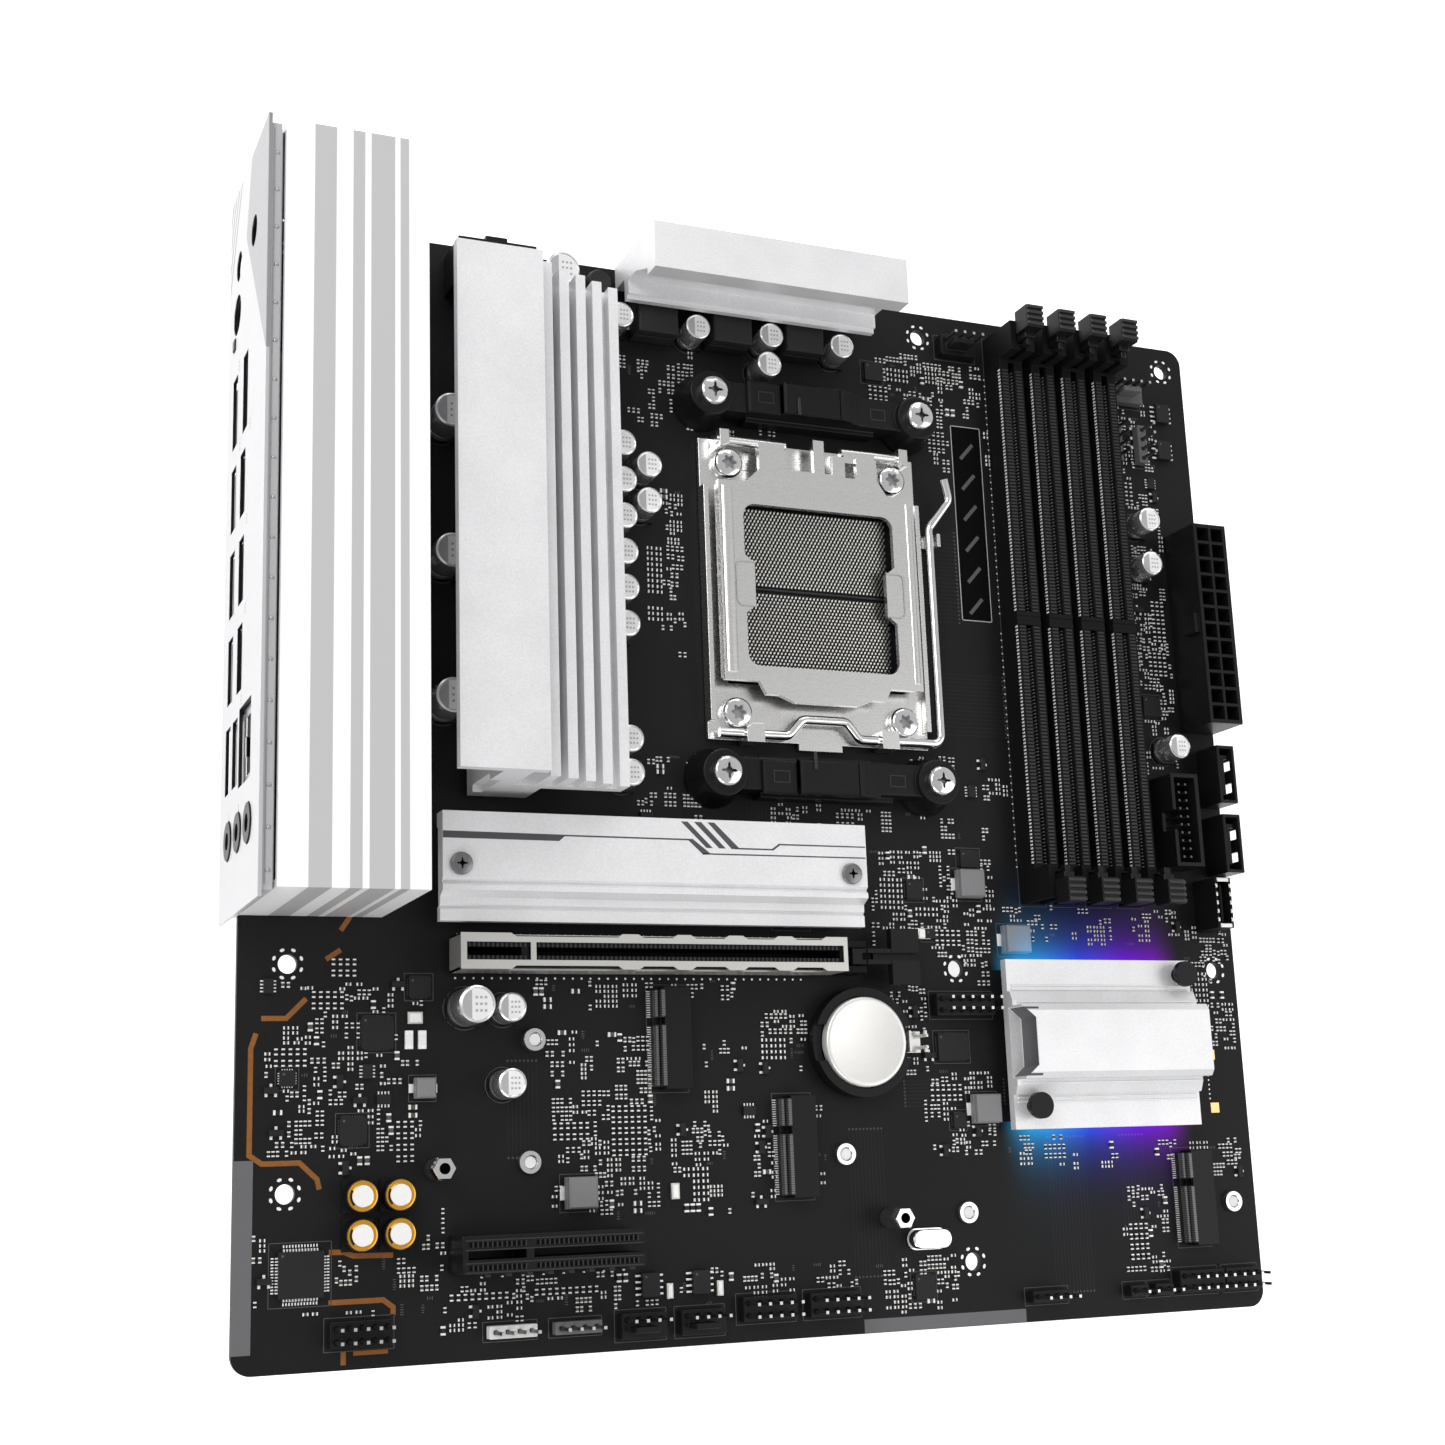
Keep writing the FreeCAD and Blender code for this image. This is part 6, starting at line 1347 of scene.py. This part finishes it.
def group_of_parts(crowd, x0, y0, x1, y1):
    """One group: a short row or block of equal parts, or a single larger part."""
    x, y = rng.uniform(x0, x1), rng.uniform(y0, y1)
    turned = rng.random() < 0.6
    pick = rng.random()
    if pick < 0.10:
        crowd.package("three_leads", x, y, turned)
        return
    if pick < 0.13:
        crowd.package("eight_leads", x, y, turned)
        return
    large = pick < 0.26
    long, wide, tall = (1.7, 0.9, 0.6) if large else (1.06, 0.54, 0.38)
    across = rng.randint(1, 3) if large else rng.randint(2, 5)
    down = 1 if large else rng.choice((1, 1, 2, 2, 3))
    gap = rng.uniform(0.35, 0.75)
    step_x, step_y = (wide + gap, long + gap + 0.3) if turned else (long + gap + 0.3, wide + gap)
    if not turned:
        across, down = down, across
    body = rng.choice(("ceramic", "resistor", "resistor", "ceramic"))
    for row, column in itertools.product(range(down), range(across)):
        spot_x, spot_y = x + column * step_x, y + row * step_y
        if spot_x < x1 and spot_y < y1 and rng.random() < 0.8:
            crowd.two_ended(spot_x, spot_y, long, wide, tall, turned, body)


def dashes(marks, crowd, x, y, turned):
    """A short row of printed ticks, no letters, beside a part."""
    if not crowd.room(x, y, *((0.4, 1.1) if turned else (1.1, 0.4)), gap=0.1):
        return
    for k in range(rng.randint(3, 5)):
        half = rng.choice((0.7, 0.7, 0.45)) / 2
        start = -0.95 + k * 0.48
        corners = [(start, -half), (start + 0.16, -half), (start + 0.16, half), (start, half)]
        if turned:
            corners = [(across, along) for along, across in reversed(corners)]
        marks.add([(x + a, y + b, PRINT_LIFT) for a, b in corners], [(0, 1, 2, 3)], "silk_dim")


def special_parts(crowd):
    """The small parts that stand out: crystal, oscillators, filters, a ribbed coil, gold pads and vias."""
    parts = Builder("chrome", "solder", "white_plastic", "ferrite", "gold", "pale_gold")
    x, y, radius = 153.5, 19.5, 2.1
    outline = []
    for centre, start in ((x + 2.8, -90), (x - 2.8, 90)):
        for k in range(13):
            angle = math.radians(start + 15 * k)
            outline.append((centre + radius * math.cos(angle), y + radius * math.sin(angle)))
    parts.prism([(x + (px - x) * 1.04, y + (py - y) * 1.12) for px, py in outline], 0.1, 0.5, "chrome")
    parts.prism(outline, 0.5, 3.4, "chrome", 0.35)
    for x, y, wide, deep in ((36.5, 69.0, 3.2, 2.5), (157.0, 88.0, 3.2, 2.5), (93.2, 32.0, 1.9, 3.4),
                             (91.3, 11.5, 1.5, 3.2), (102.8, 11.5, 1.5, 3.2)):
        parts.middle_block(x, y, wide / 2, deep / 2, 0.05, 0.85, "pale_gold", 0.1)
        parts.middle_block(x, y, wide / 2 - 0.35, deep / 2 - 0.35, 0.85, 0.95, "solder")
        crowd.room(x, y, max(wide, deep) / 2 + 0.3)
    for x in (35.2, 38.0):
        for low, high, look in ((62.6, 63.5, "solder"), (63.5, 65.5, "white_plastic"),
                                (65.5, 66.4, "solder")):
            parts.block((x - 0.85, low, 0.05), (x + 0.85, high, 0.8), look, 0.08)
        crowd.room(x, 64.5, 1.9)
    ribs = [(3.0 - 0.14 * (k % 2), 0.5 + 0.45 * k) for k in range(16)]
    parts.turned((78.4, 236.6, 0.2), [(0.02, 0), (3.0, 0)] + ribs + [(2.5, 7.9), (0.02, 7.7)], ["ferrite"],
                 32)
    for x, y in ((234.5, 59.5), (234.5, 46.8)):
        parts.middle_block(x, y, 1.2, 1.2, 0, 0.05, "gold")
        crowd.room(x, y, 1.4)
    for k, x in itertools.product(range(8), (230.0, 233.3)):
        parts.ring((x, 49 + k * 1.1), 0.0, 0.2, 0.03, "solder", 8)
    parts.finish("larger_small_parts", "board", "pin_metal", bevel=0.05)


# ---------------------------------------------------------------- printed marks and traces

def make_prints():
    """Hole pads, isolation lines, edge strips, the plain name panel and outlines round the parts."""
    parts = Builder("solder", "orange", "strip_grey", "silk", "silk_dim", "inside")
    for (x, y), k in itertools.product(HOLES, range(8)):
        angle = TURN * (k + 0.5) / 8
        pad_oval(parts, x + 3.0 * math.cos(angle), y + 3.0 * math.sin(angle), angle + HALF_TURN / 2, 0.5,
                 0.33)
    for route in ([(23, 90), (21, 87)], [(21, 83), (18, 81)], [(14, 73), (10, 69), (5, 69)],
                  [(4, 66), (3, 63), (3, 42), (5.5, 40.3), (13, 40.3), (16.5, 37), (17, 35)],
                  [(19, 22.7), (22, 22.6), (24, 21.8), (32, 21.6)],
                  [(19, 13), (30, 13), (32, 11.5), (32, 10)], [(24, 3.2), (31, 3.2)], [(22, 3.5), (22, 1)]):
        parts.ribbon(route, 1.05, 0.0, "orange")
    parts.ribbon([(1.9, 4), (1.9, 41)], 3.8, 0.0, "strip_grey")
    parts.ribbon([(137, 1.55), (178, 1.55)], 2.9, 0.0, "strip_grey")
    x0, y0, x1, y1 = NAME_PANEL
    parts.add([(x0, y0, PRINT_LIFT), (x1, y0, PRINT_LIFT), (x1, y1, PRINT_LIFT), (x0, y1, PRINT_LIFT)],
              [(0, 1, 2, 3)], "inside")
    outline_marks(parts, *NAME_PANEL, "silk", 0.4)
    for k in range(6):
        y = y0 + 4 + k * 8
        parts.ribbon([(x0 + 2.2, y - 2.4), (x1 - 2.2, y + 1.6)], 0.9, 0.01, "silk_dim")
    for box in islands("polymer_capacitors"):
        x, y, _ = middle_of(box)
        r = size_of(box)[0] / 2
        parts.ring((x, y), r + 0.45, r + 0.62, PRINT_LIFT, "silk_dim", 40)
    for name, left, right, ends, width in (("pin_header_bases", 0.7, 0.7, 0.7, 0.14),
                                           ("fan_and_light_headers", 0.7, 0.7, 0.7, 0.14),
                                           ("dimm_slots", 0.35, 0.35, 0.5, 0.12),
                                           ("m2_sockets", 0.9, 0.7, 0.6, 0.14),
                                           ("power_inductors", 0.9, 0.7, 0.6, 0.14)):
        for (x0, y0, _), (x1, y1, _) in islands(name):
            outline_marks(parts, x0 - left, y0 - ends, x1 + right, y1 + ends, "silk_dim", width)
    parts.finish("printed_marks", "board", "solder_mask", smooth=False)


def pad_oval(parts, x, y, angle, long, wide):
    """A small oval pad."""
    points = []
    for k in range(12):
        a, b = long * math.cos(TURN * k / 12), wide * math.sin(TURN * k / 12)
        points.append((x + a * math.cos(angle) - b * math.sin(angle),
                       y + a * math.sin(angle) + b * math.cos(angle), 0.025))
    parts.add(points, [tuple(range(12))], "solder")


def make_traces():
    """Bundles of fine tracks under the solder mask, and the small vias that end them."""
    parts = Builder("trace", "silk_dim")
    bundles = [((164, 144), (183, 144), 16, 1.0), ((164, 176), (172, 176), 24, 1.0),
               ((120, 128), (120, 112), 14, 0.9), ((192, 41), (192, 6), 12, 0.9),
               ((210, 41), (210, 20), 8, 0.9), ((60, 60), (60, 40), 8, 0.9),
               ((140, 44), (140, 12), 10, 0.9), ((176, 52), (150, 52), 8, 0.8)]
    for (x0, y0), (x1, y1), count, pitch in bundles:
        run, rise = x1 - x0, y1 - y0
        for k in range(count):
            shift = (k - count / 2) * pitch
            if abs(run) > abs(rise):
                diagonal = abs(rise) * (1 if run > 0 else -1)
                knee = x0 + (run - diagonal) * (0.4 + 0.02 * k)
                route = [(x0, y0 + shift), (knee, y0 + shift), (knee + diagonal, y1 + shift),
                         (x1, y1 + shift)]
            else:
                diagonal = abs(run) * (1 if rise > 0 else -1)
                knee = y0 + (rise - diagonal) * (0.4 + 0.02 * k)
                route = [(x0 + shift, y0), (x0 + shift, knee), (x1 + shift, knee + diagonal),
                         (x1 + shift, y1)]
            clean = [route[0]]
            for point in route[1:]:
                if math.dist(point, clean[-1]) > 0.05:
                    clean.append(point)
            parts.ribbon(clean, 0.2, 0.0, "trace", 0.012)
            for point in (clean[0], clean[-1]):
                parts.ring(point, 0.12, 0.24, 0.02, "silk_dim", 8)
    parts.finish("board_tracks", "board", "solder_mask", smooth=False)


# ---------------------------------------------------------------- floor, light and camera

def make_stage():
    """A plain pale floor, soft studio light and the camera."""
    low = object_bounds()[0]
    size, level = 8.0, low[2] - FLOOR_GAP
    mesh = bpy.data.meshes.new("floor")
    mesh.from_pydata([(-size, -size, level), (size, -size, level), (size, size, level),
                      (-size, size, level)], [], [(0, 1, 2, 3)])
    mesh.materials.append(M["floor"])
    floor = bpy.data.objects.new("floor", mesh)
    bpy.context.scene.collection.objects.link(floor)

    world = bpy.data.worlds.new("studio")
    world.use_nodes = True
    tree = world.node_tree
    place = node(tree, "TexCoord")
    split = node(tree, "SeparateXYZ")
    shades = ramp(tree, [(0.0, (0.60, 0.60, 0.60)), (0.5, (0.62, 0.62, 0.62)), (0.75, (0.60, 0.60, 0.60)),
                         (1.0, (0.52, 0.52, 0.52))])
    height = math_node(tree, "MULTIPLY_ADD", split.outputs["Z"], 0.5, 0.5)
    links(tree, (place.outputs["Generated"], split.inputs[0]), (height, shades.inputs[0]),
          (shades.outputs["Color"], tree.nodes["Background"].inputs["Color"]))
    tree.nodes["Background"].inputs["Strength"].default_value = 1.0
    bpy.context.scene.world = world
    for name, place, width, power in (("key", (-0.75, 0.55, 0.95), 0.7, 7.5),
                                      ("fill", (0.85, -0.3, 0.9), 0.9, 3.5),
                                      ("rim", (0.2, 0.95, 0.6), 0.6, 2.5),
                                      ("front", (-0.5, -0.9, 0.4), 0.7, 5),
                                      ("left", (-1.3, 0.1, 0.25), 0.8, 1.2)):
        lamp = bpy.data.lights.new(name, "AREA")
        lamp.size = width
        lamp.energy = power
        made = bpy.data.objects.new(name, lamp)
        made.location = place
        made.rotation_euler = (-Vector(place)).to_track_quat("-Z", "Y").to_euler()
        bpy.context.scene.collection.objects.link(made)

    lens = bpy.data.cameras.new("view")
    lens.lens = CAMERA["lens"]
    lens.sensor_width = 36
    lens.clip_start = 0.01
    camera = bpy.data.objects.new("view", lens)
    forward = (Vector(CAMERA["target"]) - Vector(CAMERA["place"])).normalized()
    right = forward.cross(Vector(CAMERA["up"])).normalized()
    turn = Matrix((right, right.cross(forward), -forward)).transposed().to_4x4()
    turn.translation = Vector(CAMERA["place"])
    camera.matrix_world = turn
    bpy.context.scene.collection.objects.link(camera)
    bpy.context.scene.camera = camera
    bpy.context.scene.view_settings.view_transform = "Standard"


make_materials()
free_spot = surface_tests()
dress_nodes()
make_capacitors()
make_audio_capacitors()
make_coils()
make_chip_legs()
make_screws()
make_contacts()
make_cell()
make_standoffs()
make_slot_details()
make_slot_shield()
make_latches()
make_drive_sockets()
make_ports()
make_power_details()
make_plate_pressings()
make_drive_print()
make_sink_ribs()
make_small_parts(free_spot)
make_prints()
make_traces()
make_stage()
